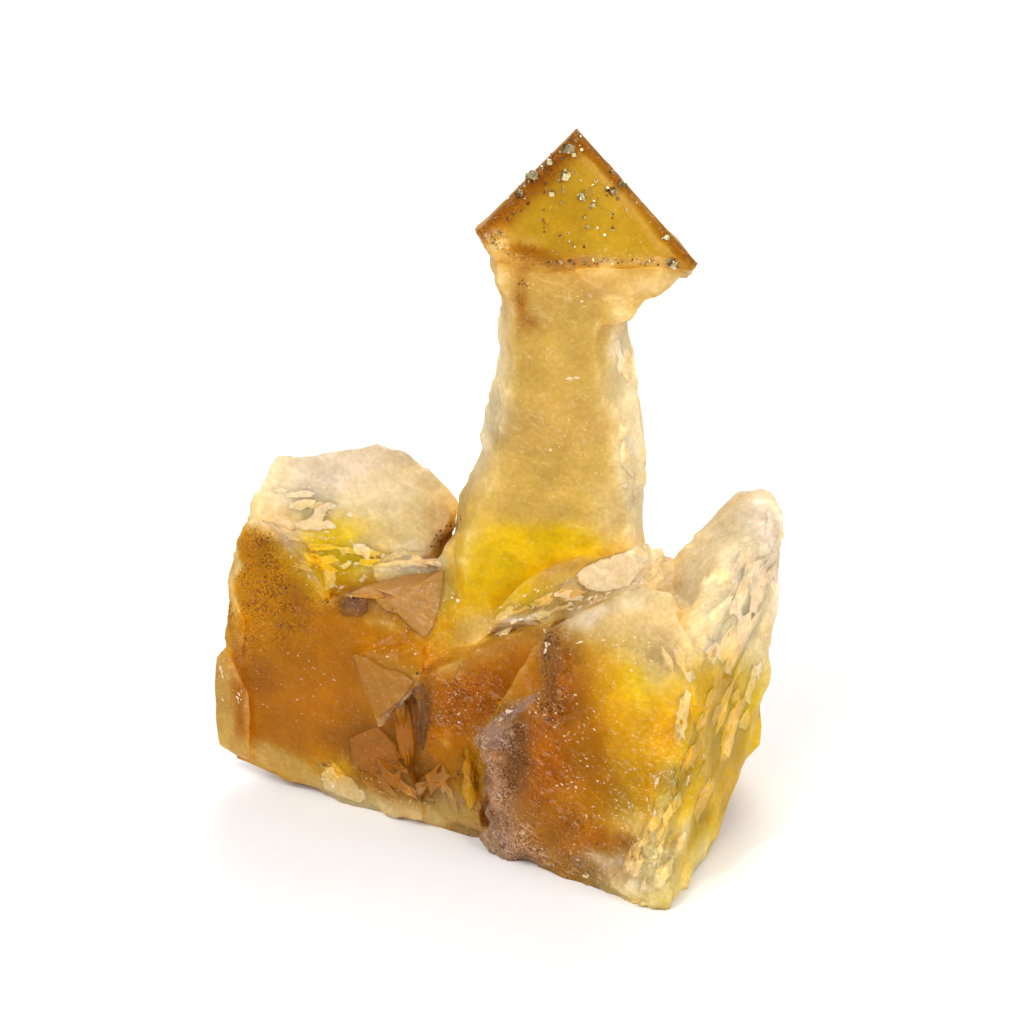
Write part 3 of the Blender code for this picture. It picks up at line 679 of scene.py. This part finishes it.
def pale_rims(points, rows, spots):
    """Bruised, creamy patches along the rims, except on smooth faces; they are also painted highlights on the
    edges.
    """
    near = np.exp(-rim_distance(spots, points) / RIM_FADE) * ramp(rows[:, 5], 0.05, 0.25)
    ragged = ramp(rough_noise(points / MM, 1.6, 131), -0.2, 0.5)
    return blend_rows(rows, look_row("cream"), RIM_SHARE * near * ragged)


def build_fluorite():
    """The fluorite: the CAD solid divided, coloured, pushed into relief and chipped."""
    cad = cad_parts["fluorite"]
    points, faces = divide(*welded_triangles(cad.data), edge_limit(surface_tree(cad.data)))
    rows = looks_at(points, surface_tree(cad.data))
    spots = rim_spots(cad.data)
    above_cut = points[:, 2] > CUT_HEIGHT
    open_share = ramp(rows[:, 5], 0.2, 0.9) * above_cut
    rows = pale_rims(points, rows, spots)
    relief, painted_facet_light = relief_height(points / MM, rows[:, 5])
    rows[:, :3] **= 1 / BLEND_POWER
    # Painted shade in the hollows, painted light on the high places, and each facet's painted light and
    # shade.
    rows[:, :3] *= (1 + CREASE_SHADE * np.clip(relief / CREASE_DEPTH, -1, 1) + painted_facet_light)[:, None]
    push = relief * above_cut * MM
    moved = points + vertex_normals(points, faces) * push[:, None]
    moved = chip_edges(moved, spots, open_share, np.random.default_rng(21))
    mesh = coloured_mesh("fluorite_crystals", moved, faces, rows, neck_share(points))
    piece = new_object("fluorite_crystals", mesh, fluorite_material("fluorite_crystal", 0.004, 0.02))
    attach(piece, "root")
    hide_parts("fluorite")
    return piece


def store(mesh, name, rows):
    """Keep three numbers for each point as a colour that materials can read."""
    layer = mesh.attributes.new(name, "FLOAT_COLOR", "POINT")
    values = np.ones((len(rows), 4), dtype=np.float32)
    values[:, :3] = rows
    layer.data.foreach_set("color", values.ravel())


# ---------------------------------------------------------------- materials

class Nodes:
    """Short calls for building a material's node tree."""

    def __init__(self, name):
        self.material = bpy.data.materials.new(name)
        self.material.use_nodes = True
        self.tree = self.material.node_tree
        self.shader = self.tree.nodes["Principled BSDF"]
        self.output = self.tree.nodes["Material Output"]

    def put(self, target, value):
        if isinstance(value, bpy.types.NodeSocket):
            self.tree.links.new(value, target)
        elif isinstance(value, tuple) and len(value) == 3 and target.type == "RGBA":
            target.default_value = (*value, 1.0)
        else:
            target.default_value = value

    def shade(self, **inputs):
        for name, value in inputs.items():
            self.put(self.shader.inputs[name.replace("_", " ")], value)

    def add(self, kind, output, inputs=(), **settings):
        """Makes a node, with its settings before its inputs, and gives one of its outputs."""
        node = self.tree.nodes.new("ShaderNode" + kind)
        for name, value in settings.items():
            setattr(node, name, value)
        for name, value in inputs:
            self.put(node.inputs[name], value)
        return node.outputs[output]

    def place(self):
        return self.add("TexCoord", "Object")

    def attribute(self, name):
        return self.add("Attribute", "Color", attribute_name=name)

    def split(self, colour):
        node = self.tree.nodes.new("ShaderNodeSeparateColor")
        self.put(node.inputs[0], colour)
        return node.outputs

    def noise(self, scale, detail=2.0, place=None):
        inputs = (("Vector", place or self.place()), ("Scale", scale), ("Detail", detail))
        return self.add("TexNoise", "Fac", inputs)

    def cells(self, scale, place=None):
        """A random colour for each small cell."""
        return self.add("TexVoronoi", "Color", (("Vector", place or self.place()), ("Scale", scale)))

    def stretched(self, turn, squeeze):
        """Object coordinates turned and drawn out along one direction."""
        inputs = (("Rotation", turn), ("Vector", self.place()))
        turned = self.add("VectorRotate", 0, inputs, rotation_type="EULER_XYZ")
        return self.vector("MULTIPLY", turned, (squeeze, 1.0, 1.0))

    def streaks(self, turn, scale, squeeze):
        """Noise drawn out along one direction."""
        return self.noise(scale, 3.0, self.stretched(turn, squeeze))

    def chips(self, turn, scale, squeeze):
        """A number for each small cleavage chip, as flat patches with straight borders."""
        return self.split(self.cells(scale, self.stretched(turn, squeeze)))[0]

    def math(self, operation, a, b=0.0):
        return self.add("Math", 0, ((0, a), (1, b)), operation=operation)

    def times(self, a, b):
        return self.math("MULTIPLY", a, b)

    def band(self, value, low, high, to_low=0.0, to_high=1.0):
        """A smooth climb from to_low to to_high as the value goes from low to high."""
        inputs = (("Value", value), ("From Min", low), ("From Max", high), ("To Min", to_low),
                  ("To Max", to_high))
        return self.add("MapRange", 0, inputs, interpolation_type="SMOOTHSTEP")

    def mix(self, share, a, b, blend="MIX"):
        return self.add("Mix", 2, (("Factor", share), (6, a), (7, b)), data_type="RGBA", blend_type=blend)

    def shaded(self, tint, share, dark, bright):
        """The tint times a colour between dark and bright."""
        return self.mix(1.0, tint, self.mix(share, dark, bright), "MULTIPLY")

    def stained(self, tint, share, colour):
        """The tint, times the colour where the share is 1."""
        return self.mix(share, tint, self.mix(1.0, tint, colour, "MULTIPLY"))

    def vector(self, operation, a, b):
        inputs = ((0, a), ("Scale" if operation == "SCALE" else 1, b))
        return self.add("VectorMath", 0, inputs, operation=operation)

    def facet_normal(self, scale, amount):
        """The surface normal tilted at random in each small cell, as a patchwork of tiny cleavage faces."""
        tilt = self.vector("SUBTRACT", self.cells(scale), (0.5, 0.5, 0.5))
        normal = self.add("NewGeometry", "Normal")
        tilted = self.vector("ADD", normal, self.vector("SCALE", tilt, amount))
        return self.vector("NORMALIZE", tilted, (0, 0, 0))

    def bump(self, height, distance, strength=1.0, normal=None):
        inputs = [("Distance", distance), ("Strength", strength), ("Height", height)]
        return self.add("Bump", 0, inputs + [("Normal", normal)] * bool(normal))


# Directions of cleavage streaks, painted glints and the neck's level lines.
STREAK_TURN = (0.0, math.radians(-28), math.radians(15))
PAINTED_GLINT_TURN = (math.radians(20), math.radians(40), math.radians(-10))
LEVEL_TURN = (0.0, math.radians(4), 0.0)
# Spots per metre of the noises.
CLOUD_NOISE, FINE_NOISE, MOTTLE_NOISE, BUMP_NOISE = 420.0, 2100.0, 4200.0, 2600.0
FLUORITE_IOR = 1.434
ABSORPTION_COLOUR, ABSORPTION_DENSITY = (0.98, 0.80, 0.25, 1.0), 55.0


def fluorite_tint(m, cloud, relief, mottle, neck):
    """The mesh's tint with clouds, fine grain, dark mottling, chips lightened as painted light and, on the
    neck, level lines.
    """
    tint = m.shaded(m.attribute("tint"), cloud, (0.95, 0.93, 0.88), (1.04, 1.06, 1.10))
    fine = m.band(m.noise(FINE_NOISE), 0.32, 0.68)
    tint = m.shaded(tint, fine, (0.95, 0.93, 0.90), (1.06, 1.08, 1.13))
    grain = m.times(m.band(m.noise(MOTTLE_NOISE), 0.44, 0.58), m.math("ADD", cloud, 0.25))
    tint = m.stained(tint, m.times(grain, mottle), (0.40, 0.28, 0.25))
    # Painted light: small cleavage chips painted brighter, as if catching the light.
    painted_light_patches = m.times(m.chips(STREAK_TURN, 520.0, 0.4), m.chips(PAINTED_GLINT_TURN, 1500.0, 0.5))
    tint = m.shaded(tint, m.times(painted_light_patches, m.times(relief, 0.55)), (0.97, 0.96, 0.94), (1.4, 1.5, 1.7))
    lines = m.times(m.band(m.streaks(LEVEL_TURN, 2400.0, 0.05), 0.45, 0.62), neck)
    return m.stained(tint, m.times(lines, 0.6), (0.80, 0.68, 0.50))


def fluorite_painted_glints(m, cloud, frost):
    """Pale fibres, and the share of the surface that painted glints whiten: white fibres and sparkle spots
    together.
    """
    fibre = m.times(m.band(m.streaks(STREAK_TURN, 3400.0, 0.28), 0.56, 0.66), cloud)
    # Painted glints: short bright streaks standing in for sparkle.
    painted_sparkle = m.band(m.streaks(PAINTED_GLINT_TURN, 4600.0, 0.45), 0.645, 0.70)
    painted_glint_share = m.math("ADD", m.times(fibre, frost), m.times(painted_sparkle, m.math("ADD", frost, 0.30)))
    return fibre, m.math("MINIMUM", painted_glint_share, 1.0)


def fluorite_material(name, scatter, glint):
    """See-through fluorite; light spreads inside it as far as the scatter length, in metres."""
    m = Nodes(name)
    clear, rough, relief = m.split(m.attribute("finish"))[:3]
    mottle, frost, neck = m.split(m.attribute("marks"))[:3]
    cloud = m.band(m.noise(CLOUD_NOISE), 0.30, 0.70)
    tint = fluorite_tint(m, cloud, relief, mottle, neck)
    fibre, painted_glint_share = fluorite_painted_glints(m, cloud, frost)
    height = m.math("ADD", m.noise(BUMP_NOISE), m.times(fibre, 0.8))
    gloss = m.math("ADD", m.times(relief, 0.35), m.times(frost, 0.4))
    m.shade(
        # Base colour lightened towards warm white by the painted glints.
        Base_Color=m.mix(painted_glint_share, tint, m.mix(0.6, tint, (1.0, 0.86, 0.60))), Roughness=rough,
        IOR=FLUORITE_IOR, Specular_IOR_Level=glint,
        Transmission_Weight=m.times(clear, m.math("SUBTRACT", 1.0, painted_glint_share)),
        Subsurface_Weight=1.0, Subsurface_Radius=(1.0, 0.6, 0.2), Subsurface_Scale=scatter,
        Normal=m.bump(height, 0.0002, gloss, m.facet_normal(1500.0, m.times(gloss, 1.3))),
    )
    m.shader.subsurface_method = "BURLEY"
    depth = m.tree.nodes.new("ShaderNodeVolumeAbsorption")
    depth.inputs["Color"].default_value = ABSORPTION_COLOUR
    depth.inputs["Density"].default_value = ABSORPTION_DENSITY
    m.put(m.output.inputs["Volume"], depth.outputs[0])
    return m.material


def sulphide_material():
    m = Nodes("sulphide_metal")
    tarnish = m.band(m.noise(900.0, 4.0), 0.45, 0.65)
    m.shade(
        Base_Color=m.mix(tarnish, (0.66, 0.55, 0.30), (0.20, 0.13, 0.05)), Metallic=1.0,
        Roughness=m.band(m.noise(1500.0, 3.0), 0.3, 0.7, 0.12, 0.38),
        Normal=m.bump(m.noise(5200.0, 3.0), 0.00005),
    )
    return m.material


def floor_material():
    m = Nodes("pale_floor")
    m.shade(Base_Color=m.mix(m.noise(30.0), (0.93, 0.93, 0.93), (0.95, 0.95, 0.95)), Roughness=0.7)
    return m.material


# ---------------------------------------------------------------- sulphide crystals

SULPHIDE_NODES = [name for name in sorted(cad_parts) if name.startswith("sulphide_")]
CORNER_CUT, EDGE_CUT = 0.2, 0.035  # how much of a cube's size its corners and edges lose
MAIN_SHARE = 0.72  # the main cube's edge, as a share of the CAD crystal's
MAIN_RISE = 0.28  # how far its middle stands above the fluorite, in edges
SIDE_COUNT = 3  # smaller cubes grown on it
SIDE_SIZES = (0.35, 0.6)  # their edges, as shares of the main one
SIDE_SPREAD = 0.38  # how far aside they sit, in main edges
SIDE_RISE = 0.3  # and how far they stand out, in their own
SMALL_SHARE = 0.7  # edge of the small crystals below, as a share of their listed size
SMALL_RISE_SHARE = 0.15  # and how far they stand out, as a share of it


def cut_cube(size, turn, place):
    """One sulphide crystal: a cube with cut corners and narrowly cut edges."""
    bm = bmesh.new()
    bmesh.ops.create_cube(bm, size=size)
    for geometry, share, affect in ((bm.verts, CORNER_CUT, "VERTICES"), (bm.edges, EDGE_CUT, "EDGES")):
        bmesh.ops.bevel(bm, geom=list(geometry), offset=size * share, segments=1, profile=0.5, affect=affect)
    bmesh.ops.transform(bm, matrix=Matrix.Translation(place) @ turn, verts=bm.verts)
    return bm


def join_into(target, source):
    mesh = bpy.data.meshes.new("joining")
    source.to_mesh(mesh)
    source.free()
    target.from_mesh(mesh)
    bpy.data.meshes.remove(mesh)


def add_piece(name, bm, material, slot):
    """Makes a piece of a bmesh, pressed within the CAD model's outer box."""
    for vert in bm.verts:
        vert.co = np.clip(vert.co, cad_low, cad_high)
    mesh = bpy.data.meshes.new(name)
    bm.to_mesh(mesh)
    bm.free()
    piece = new_object(name, mesh, material)
    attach(piece, "root")
    return piece


def random_turn(rng):
    axis = Vector(rng.normal(size=3)).normalized()
    return Matrix.Rotation(rng.uniform(0, 2 * math.pi), 4, axis)


def build_sulphides(tree):
    """Each larger sulphide crystal: a main cube with smaller ones grown on it, seated in the fluorite."""
    material = sulphide_material()
    rng = np.random.default_rng(5)
    for node in SULPHIDE_NODES:
        low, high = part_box(node)
        centre = (Vector(low) + Vector(high)) / 2
        size = (Vector(high) - Vector(low)).length / math.sqrt(3) * MAIN_SHARE
        seat, normal, _, _ = tree.find_nearest(centre)
        bm = bmesh.new()
        join_into(bm, cut_cube(size, random_turn(rng), seat + normal * size * MAIN_RISE))
        for _ in range(SIDE_COUNT):
            small = size * rng.uniform(*SIDE_SIZES)
            aside = Vector(rng.normal(size=3)) * size * SIDE_SPREAD
            aside -= normal * aside.dot(normal)
            join_into(bm, cut_cube(small, random_turn(rng), seat + aside + normal * small * SIDE_RISE))
        piece = add_piece(node + "_crystal", bm, material, "sulphide_gold")
        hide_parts(node)


# ---------------------------------------------------------------- scattered small pieces

# Places for scattering: pixel across and down, half sizes in pixels, turn in degrees, how many.
# First the cleavage flakes.
FLAKE_SPOTS = [
    (330, 512, 24, 5, 10, 16), (318, 532, 22, 5, 25, 14), (375, 560, 26, 4, -20, 12),
    (345, 592, 14, 4, 30, 8), (410, 566, 20, 3, -10, 8), (300, 572, 3, 22, -35, 8),
    (495, 630, 14, 5, -20, 12), (372, 748, 7, 10, 20, 12), (345, 786, 26, 5, 20, 16),
    (773, 535, 5, 26, -10, 22), (735, 560, 4, 10, 20, 6), (728, 635, 8, 14, 20, 12), (685, 715, 4, 30, 5, 20),
    (688, 770, 4, 24, 5, 10), (560, 610, 50, 3, -14, 22), (600, 598, 30, 4, -12, 14), (655, 565, 6, 12, 0, 8),
    (620, 590, 26, 3, -20, 10), (500, 720, 20, 4, -35, 10), (600, 880, 22, 4, 20, 8),
    (650, 800, 8, 30, 10, 14), (655, 865, 16, 24, 0, 16), (574, 380, 6, 4, 0, 3), (502, 383, 3, 3, 0, 2),
    (625, 486, 4, 3, 0, 2), (222, 680, 3, 24, 0, 8), (241, 690, 3, 24, 10, 6), (545, 640, 6, 16, 10, 8),
    (605, 640, 40, 12, -10, 8), (425, 600, 14, 20, 0, 4), (455, 600, 10, 10, 0, 6),
]
# Fine bright chips.
CHIP_SPOTS = [
    (565, 715, 34, 26, 30, 50), (600, 790, 48, 40, 30, 80), (590, 860, 32, 12, 22, 50),
    (655, 850, 34, 24, -60, 80), (665, 780, 14, 10, -60, 24), (462, 704, 30, 18, -30, 36),
    (400, 790, 44, 14, 20, 34), (540, 600, 50, 14, -22, 70), (745, 610, 60, 16, -62, 60),
    (722, 660, 26, 14, -62, 40), (708, 740, 60, 14, -75, 50), (330, 555, 34, 20, 8, 60),
    (560, 430, 90, 36, 84, 26), (300, 690, 50, 40, 20, 30), (395, 650, 34, 20, -30, 24),
    (640, 650, 34, 24, 50, 40), (600, 300, 40, 10, 0, 16), (425, 610, 16, 12, 0, 16),
    (272, 520, 16, 8, 40, 16),
]
# Brown drusy crust.
CRUST_SPOTS = [
    (527, 703, 14, 4, -40, 90), (508, 716, 12, 5, -25, 90), (492, 735, 9, 16, 0, 120),
    (487, 775, 4, 26, 0, 80), (484, 818, 4, 22, 0, 50), (505, 745, 14, 10, 0, 40), (590, 866, 30, 6, 22, 50),
    (470, 805, 12, 10, 0, 20),
]
# Dark iron specks.
SPECK_SPOTS = [
    (548, 645, 4, 24, 8, 60), (350, 602, 12, 5, -10, 20), (446, 532, 5, 22, 45, 46),
    (262, 560, 16, 40, 0, 40), (280, 610, 30, 30, 0, 30), (565, 264, 40, 3, -2, 26), (640, 262, 44, 3, 3, 20),
    (500, 240, 10, 18, -35, 10), (522, 292, 5, 20, 5, 16), (325, 602, 4, 3, 0, 6), (420, 672, 12, 5, -35, 10),
    (457, 775, 5, 5, 0, 10), (322, 765, 5, 4, 0, 6), (545, 222, 2, 40, 0, 9), (520, 208, 26, 3, -45, 18),
    (560, 160, 22, 3, -45, 14),
]
# Middling sulphide crystals: pixel across and down, size in millimetres.
SMALL_SULPHIDES = [
    (573, 173, 0.35), (560, 181, 0.4), (552, 193, 0.45), (561, 203, 0.4), (581, 196, 0.4), (590, 192, 0.3),
    (596, 181, 0.45), (612, 191, 0.55), (608, 188, 0.35), (622, 185, 0.4), (618, 199, 0.35), (585, 217, 0.4),
    (587, 227, 0.45), (598, 228, 0.4), (613, 229, 0.4), (605, 235, 0.35), (543, 220, 0.35), (668, 237, 0.5),
    (675, 266, 0.8), (608, 260, 0.4), (570, 261, 0.4), (574, 247, 0.3), (584, 247, 0.3), (641, 202, 0.3),
    (594, 204, 0.45), (545, 171, 0.3), (528, 178, 0.4), (524, 186, 0.35), (582, 150, 0.4), (560, 152, 0.35),
]
# Sulphide dust.
GLINT_SPOTS = [
    (533, 172, 42, 5, -45, 46), (575, 140, 8, 8, 0, 14), (500, 240, 8, 18, -35, 26),
    (600, 195, 40, 26, 0, 26), (600, 262, 70, 3, 0, 16), (560, 240, 30, 14, 0, 8), (665, 240, 16, 14, 0, 5),
]


def scatter(tree, spots, rng):
    """Random surface places in the spots, as seen by the camera: place, normal and the spot's long way."""
    found = []
    for x, y, wide, tall, turn, count in spots:
        angle = math.radians(turn)
        long_way = angle if wide >= tall else angle + math.pi / 2
        way_on_view = Vector(RIGHT * math.cos(long_way) - UP * math.sin(long_way))
        for _ in range(count):
            far, way = math.sqrt(rng.uniform()), rng.uniform(0, 2 * math.pi)
            along, beside = far * wide * math.cos(way), far * tall * math.sin(way)
            place, normal = on_surface(tree, x + along * math.cos(angle) - beside * math.sin(angle),
                                       y + along * math.sin(angle) + beside * math.cos(angle))
            if place:
                found.append((place, normal, way_on_view))
    return found


def flake(size, rng):
    """A thin chip with an uneven outline and slanted sides."""
    corners = rng.integers(4, 7)
    bm = bmesh.new()
    turns = np.sort(rng.uniform(0, 2 * math.pi, corners))
    stretch = rng.uniform(0.25, 0.6)
    thick = size * rng.uniform(0.05, 0.12)
    ring = [[bm.verts.new((size * grow * math.cos(t), size * stretch * grow * math.sin(t), z)) for t in turns]
            for grow, z in ((0.5, -thick), (0.42, thick))]
    bm.faces.new(ring[0][::-1])
    bm.faces.new(ring[1])
    for i in range(corners):
        j = (i + 1) % corners
        bm.faces.new((ring[0][i], ring[0][j], ring[1][j], ring[1][i]))
    return bm


def grain(size, rng):
    """A blocky crystal grain."""
    bm = bmesh.new()
    bmesh.ops.create_cube(bm, size=size)
    bmesh.ops.scale(bm, vec=rng.uniform(0.6, 1.0, 3), verts=bm.verts)
    return bm


def seated(place, normal, way, rng, tilt):
    """Lays a piece on the surface, its X along the way given, within a random tilt."""
    out = (normal + Vector(rng.normal(size=3)) * tilt).normalized()
    along = way + Vector(rng.normal(size=3)) * tilt
    along = (along - out * along.dot(out)).normalized()
    return Matrix.Translation(place) @ Matrix((along, out.cross(along), out)).transposed().to_4x4()


def strew(name, tree, spots, shape, sizes, tilt, material, slot, seed):
    """Scatter one kind of small piece over its spots and join them in one mesh."""
    rng = np.random.default_rng(seed)
    whole = bmesh.new()
    for place, normal, way in scatter(tree, spots, rng):
        size = rng.uniform(*sizes) * rng.uniform(0.5, 1.0) * MM
        part = shape(size, rng)
        bmesh.ops.transform(part, matrix=seated(place, normal, way, rng, tilt), verts=part.verts)
        join_into(whole, part)
    return add_piece(name, whole, material, slot)


def small_material(name, tint_noise, dark, bright, rough_noise_scale, rough, bump_scale, **more):
    """A material for small pieces: two mixed tints, uneven roughness and a fine bump."""
    m = Nodes(name)
    m.shade(
        Base_Color=m.mix(m.noise(*tint_noise), dark, bright),
        Roughness=m.band(m.noise(rough_noise_scale), 0.3, 0.7, *rough),
        Normal=m.bump(m.noise(bump_scale), 0.0001, 0.5), **more,
    )
    return m.material


def flake_material():
    return small_material("cleavage_flake", (300.0,), (0.78, 0.56, 0.26), (0.93, 0.80, 0.60), 900.0,
                          (0.12, 0.4), 3000.0, IOR=FLUORITE_IOR, Transmission_Weight=0.25)


def crust_material():
    return small_material("drusy_crust", (900.0, 3.0), (0.16, 0.085, 0.055), (0.46, 0.33, 0.28), 1500.0,
                          (0.3, 0.6), 4000.0, Specular_IOR_Level=0.15)


def speck_material():
    return small_material("iron_speck", (900.0,), (0.05, 0.022, 0.008), (0.14, 0.06, 0.015), 2000.0,
                          (0.4, 0.7), 4000.0)


# ---------------------------------------------------------------- cleavage plates and facets

def uneven_outline(corners, uneven):
    """Pixel places along a plate's border, closely spaced and straying a little."""
    ring = []
    for start, end in zip(corners, corners[1:] + corners[:1]):
        count = max(1, round(math.dist(start, end) / PLATE_STEP))
        ring += [(*(np.array(start) + (np.array(end) - start) * i / count), 0.0) for i in range(count)]
    ring = np.array(ring)
    stray = np.column_stack([rough_noise(ring, STRAY_LENGTH, seed) for seed in (201, 211)])
    return ring[:, :2] + stray * uneven


def drape(tree, pixels, middle, depth):
    """Surface places under the pixels; where the surface falls away, the place of the middle instead."""
    places = []
    for across, down in pixels:
        place, _ = on_surface(tree, across, down)
        near = place and abs(to_pixels(np.array([place]))[2][0] - depth) < PLATE_REACH
        places.append(np.array(place if near else middle))
    return np.array(places)


def plate(tree, lift, corners, uneven, lean=0.0):
    """One plate's points and faces: a draped top with sloping sides, its underside inside the crystal."""
    outline = uneven_outline(corners, uneven)
    centre = outline.mean(axis=0)
    climb = (outline - centre) @ (np.array(corners[0]) - centre)
    lifts = (lift * (1 + lean * climb / np.abs(climb).max()))[:, None]
    middle, normal = on_surface(tree, *centre)
    depth = to_pixels(np.array([middle]))[2][0]
    out = np.array(normal) * MM
    border = drape(tree, outline, middle, depth)
    inner = drape(tree, centre + (outline - centre) * PLATE_RINGS[0], middle, depth)
    inner = inner + out * lift * (1 - INNER_LEAN + INNER_LEAN * lifts / lift)
    edge = drape(tree, centre + (outline - centre) * PLATE_RINGS[1], middle, depth)
    edge = edge + out * lifts * EDGE_LIFT
    low = border - out * PLATE_SINK
    ends = [middle + Vector(out * lift), middle - Vector(out * PLATE_SINK)]
    points = np.concatenate([inner, edge, low, ends])
    n = len(outline)
    faces = []
    for i in range(n):
        j = (i + 1) % n
        faces += [(3 * n, j, i), (i, j, n + j), (i, n + j, n + i)]
        faces += [(n + i, n + j, 2 * n + j), (n + i, 2 * n + j, 2 * n + i), (2 * n + i, 2 * n + j, 3 * n + 1)]
    return points, faces


def facet_corners(spot, rng):
    """A random four- or five-sided outline in the spot, drawn out along its turn, in pixels."""
    x, y, wide, tall, turn, _, length = spot
    angle = math.radians(turn)
    spin = np.array(((math.cos(angle), math.sin(angle)), (-math.sin(angle), math.cos(angle))))
    far, way = math.sqrt(rng.uniform()), rng.uniform(0, 2 * math.pi)
    centre = np.array((far * wide * math.cos(way), far * tall * math.sin(way))) @ spin + (x, y)
    turns = np.linspace(0, 2 * math.pi, rng.integers(4, 6), endpoint=False)
    turns = turns + rng.uniform(-0.5, 0.5, len(turns))
    reach = length * rng.uniform(*FACET_REACH)
    slim = rng.uniform(*FACET_SLIM)
    return [tuple(np.array((reach * math.cos(t), reach * slim * math.sin(t))) @ spin + centre) for t in turns]


def facet_plates(tree, rng):
    """Points, faces, painted brightness (painted light and shade) and share of frost of each cleavage facet.
    """
    for spot in FACET_SPOTS:
        for _ in range(spot[5]):
            corners = facet_corners(spot, rng)
            if any(on_surface(tree, *corner)[0] is None for corner in corners):
                continue
            shape = plate(tree, rng.uniform(*FACET_LIFTS), corners, FACET_UNEVEN, FACET_LEAN)
            yield *shape, rng.uniform(*FACET_SHADES), rng.uniform(0, FACET_FROST) ** 1.5


def plate_parts(tree):
    """Each plate and facet: points, faces, look, painted brightness and share of that look."""
    for look, lift, corners in PLATES:
        points, faces = plate(tree, lift, corners, PLATE_UNEVEN.get(look, PLATE_STRAY))
        yield points, faces, look, 1.0, PLATE_SHARE.get(look, FAINT_SHARE)
    for points, faces, shade, share in facet_plates(tree, np.random.default_rng(9)):
        yield points, faces, "frost", shade, share


def build_plates(tree):
    """All plates and facets as one mesh, in a blend of their own looks and what lies under them."""
    points, faces, own, share, shade, base = [], [], [], [], [], 0
    for part_points, part_faces, look, part_shade, part_share in plate_parts(tree):
        count = len(part_points)
        ring = (count - 2) // 3
        shares = np.full(count, part_share)
        # The outer ring takes more of the plate's look: on the pale plates a painted highlight along the
        # border.
        shares[ring:ring * 2] += EDGE_SHARE
        points.append(part_points)
        faces += [tuple(base + i for i in face) for face in part_faces]
        own.append(np.tile(look_row(look), (count, 1)))
        share.append(shares)
        shade.append(np.full(count, part_shade))
        base += count
    points = np.concatenate(points)
    rows = blend_rows(looks_at(points, tree), np.concatenate(own), np.concatenate(share))
    rows[:, :3] *= np.concatenate(shade)[:, None] ** BLEND_POWER
    rows[:, :3] **= 1 / BLEND_POWER
    mesh = coloured_mesh("cleavage_plates", points, faces, rows, np.zeros(len(rows)))
    piece = new_object("cleavage_plates", mesh, fluorite_material("fluorite_plate", 0.0012, 0.18))
    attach(piece, "root")


def build_small_pieces(tree):
    flakes, metal = flake_material(), bpy.data.materials["sulphide_metal"]
    for name, spots, shape, sizes, tilt, material, slot, seed in (
            ("cleavage_flakes", FLAKE_SPOTS, flake, (0.35, 1.3), 0.22, flakes, "fluorite_honey", 3),
            ("cleavage_chips", CHIP_SPOTS, flake, (0.15, 0.65), 0.25, flakes, "fluorite_honey", 13),
            ("drusy_crust", CRUST_SPOTS, grain, (0.10, 0.24), 0.9, crust_material(), "fluorite_honey", 4),
            ("iron_specks", SPECK_SPOTS, grain, (0.10, 0.28), 0.9, speck_material(), "sulphide_gold", 6),
            ("sulphide_dust", GLINT_SPOTS, grain, (0.14, 0.38), 0.9, metal, "sulphide_gold", 7)):
        strew(name, tree, spots, shape, sizes, tilt, material, slot, seed)
    rng = np.random.default_rng(8)
    whole = bmesh.new()
    for x, y, size in SMALL_SULPHIDES:
        place, normal = on_surface(tree, x, y)
        seat = place + normal * size * MM * SMALL_RISE_SHARE
        join_into(whole, cut_cube(size * MM * SMALL_SHARE, random_turn(rng), seat))
    add_piece("sulphide_small", whole, metal, "sulphide_gold")


# ---------------------------------------------------------------- stage

FLOOR_SIZE = 3.0  # in metres
WORLD_STRENGTH = 0.40
LIGHT_AIM = (0.0, 0.0, 30.0)
# Lights: name, place in millimetres, size in metres, power in watts.
LIGHTS = [
    ("key", (-200, -260, 330), 0.26, 1.05), ("fill", (300, -220, 200), 0.25, 0.65),
    ("back", (60, 300, 240), 0.30, 0.95), ("spark_left", (-150, -200, 300), 0.014, 0.20),
    ("spark_right", (190, -240, 210), 0.014, 0.18),
]


def build_stage():
    """The floor and an even white world."""
    bm = bmesh.new()
    bmesh.ops.create_grid(bm, x_segments=1, y_segments=1, size=FLOOR_SIZE)
    mesh = bpy.data.meshes.new("floor")
    bm.to_mesh(mesh)
    bm.free()
    floor = new_object("floor", mesh, floor_material())
    world = bpy.data.worlds.new("studio")
    world.use_nodes = True
    world.node_tree.nodes["Background"].inputs["Color"].default_value = (1.0, 1.0, 1.0, 1.0)
    world.node_tree.nodes["Background"].inputs["Strength"].default_value = WORLD_STRENGTH
    bpy.context.scene.world = world
    bpy.context.scene.view_settings.view_transform = "Standard"


def build_lights():
    for name, place, size, power in LIGHTS:
        light = bpy.data.lights.new(name, "AREA")
        light.energy = power
        light.size = size
        lamp = linked(name, light)
        lamp.location = to_frame(place)
        lamp.rotation_euler = (to_frame(LIGHT_AIM) - lamp.location).to_track_quat("-Z", "Y").to_euler()


def build_camera():
    data = bpy.data.cameras.new("camera")
    data.lens = CAMERA_LENS
    data.sensor_width = CAMERA_SENSOR
    data.clip_start = 0.01
    camera = linked("camera", data)
    camera.location = Vector(CAMERA_PLACE)
    camera.rotation_euler = Vector(FORWARD).to_track_quat("-Z", "Y").to_euler()
    bpy.context.scene.camera = camera


build_camera()
build_stage()
build_lights()
fluorite = build_fluorite()
surface = surface_tree(fluorite.data)
build_sulphides(surface)
build_small_pieces(surface)
build_plates(surface)
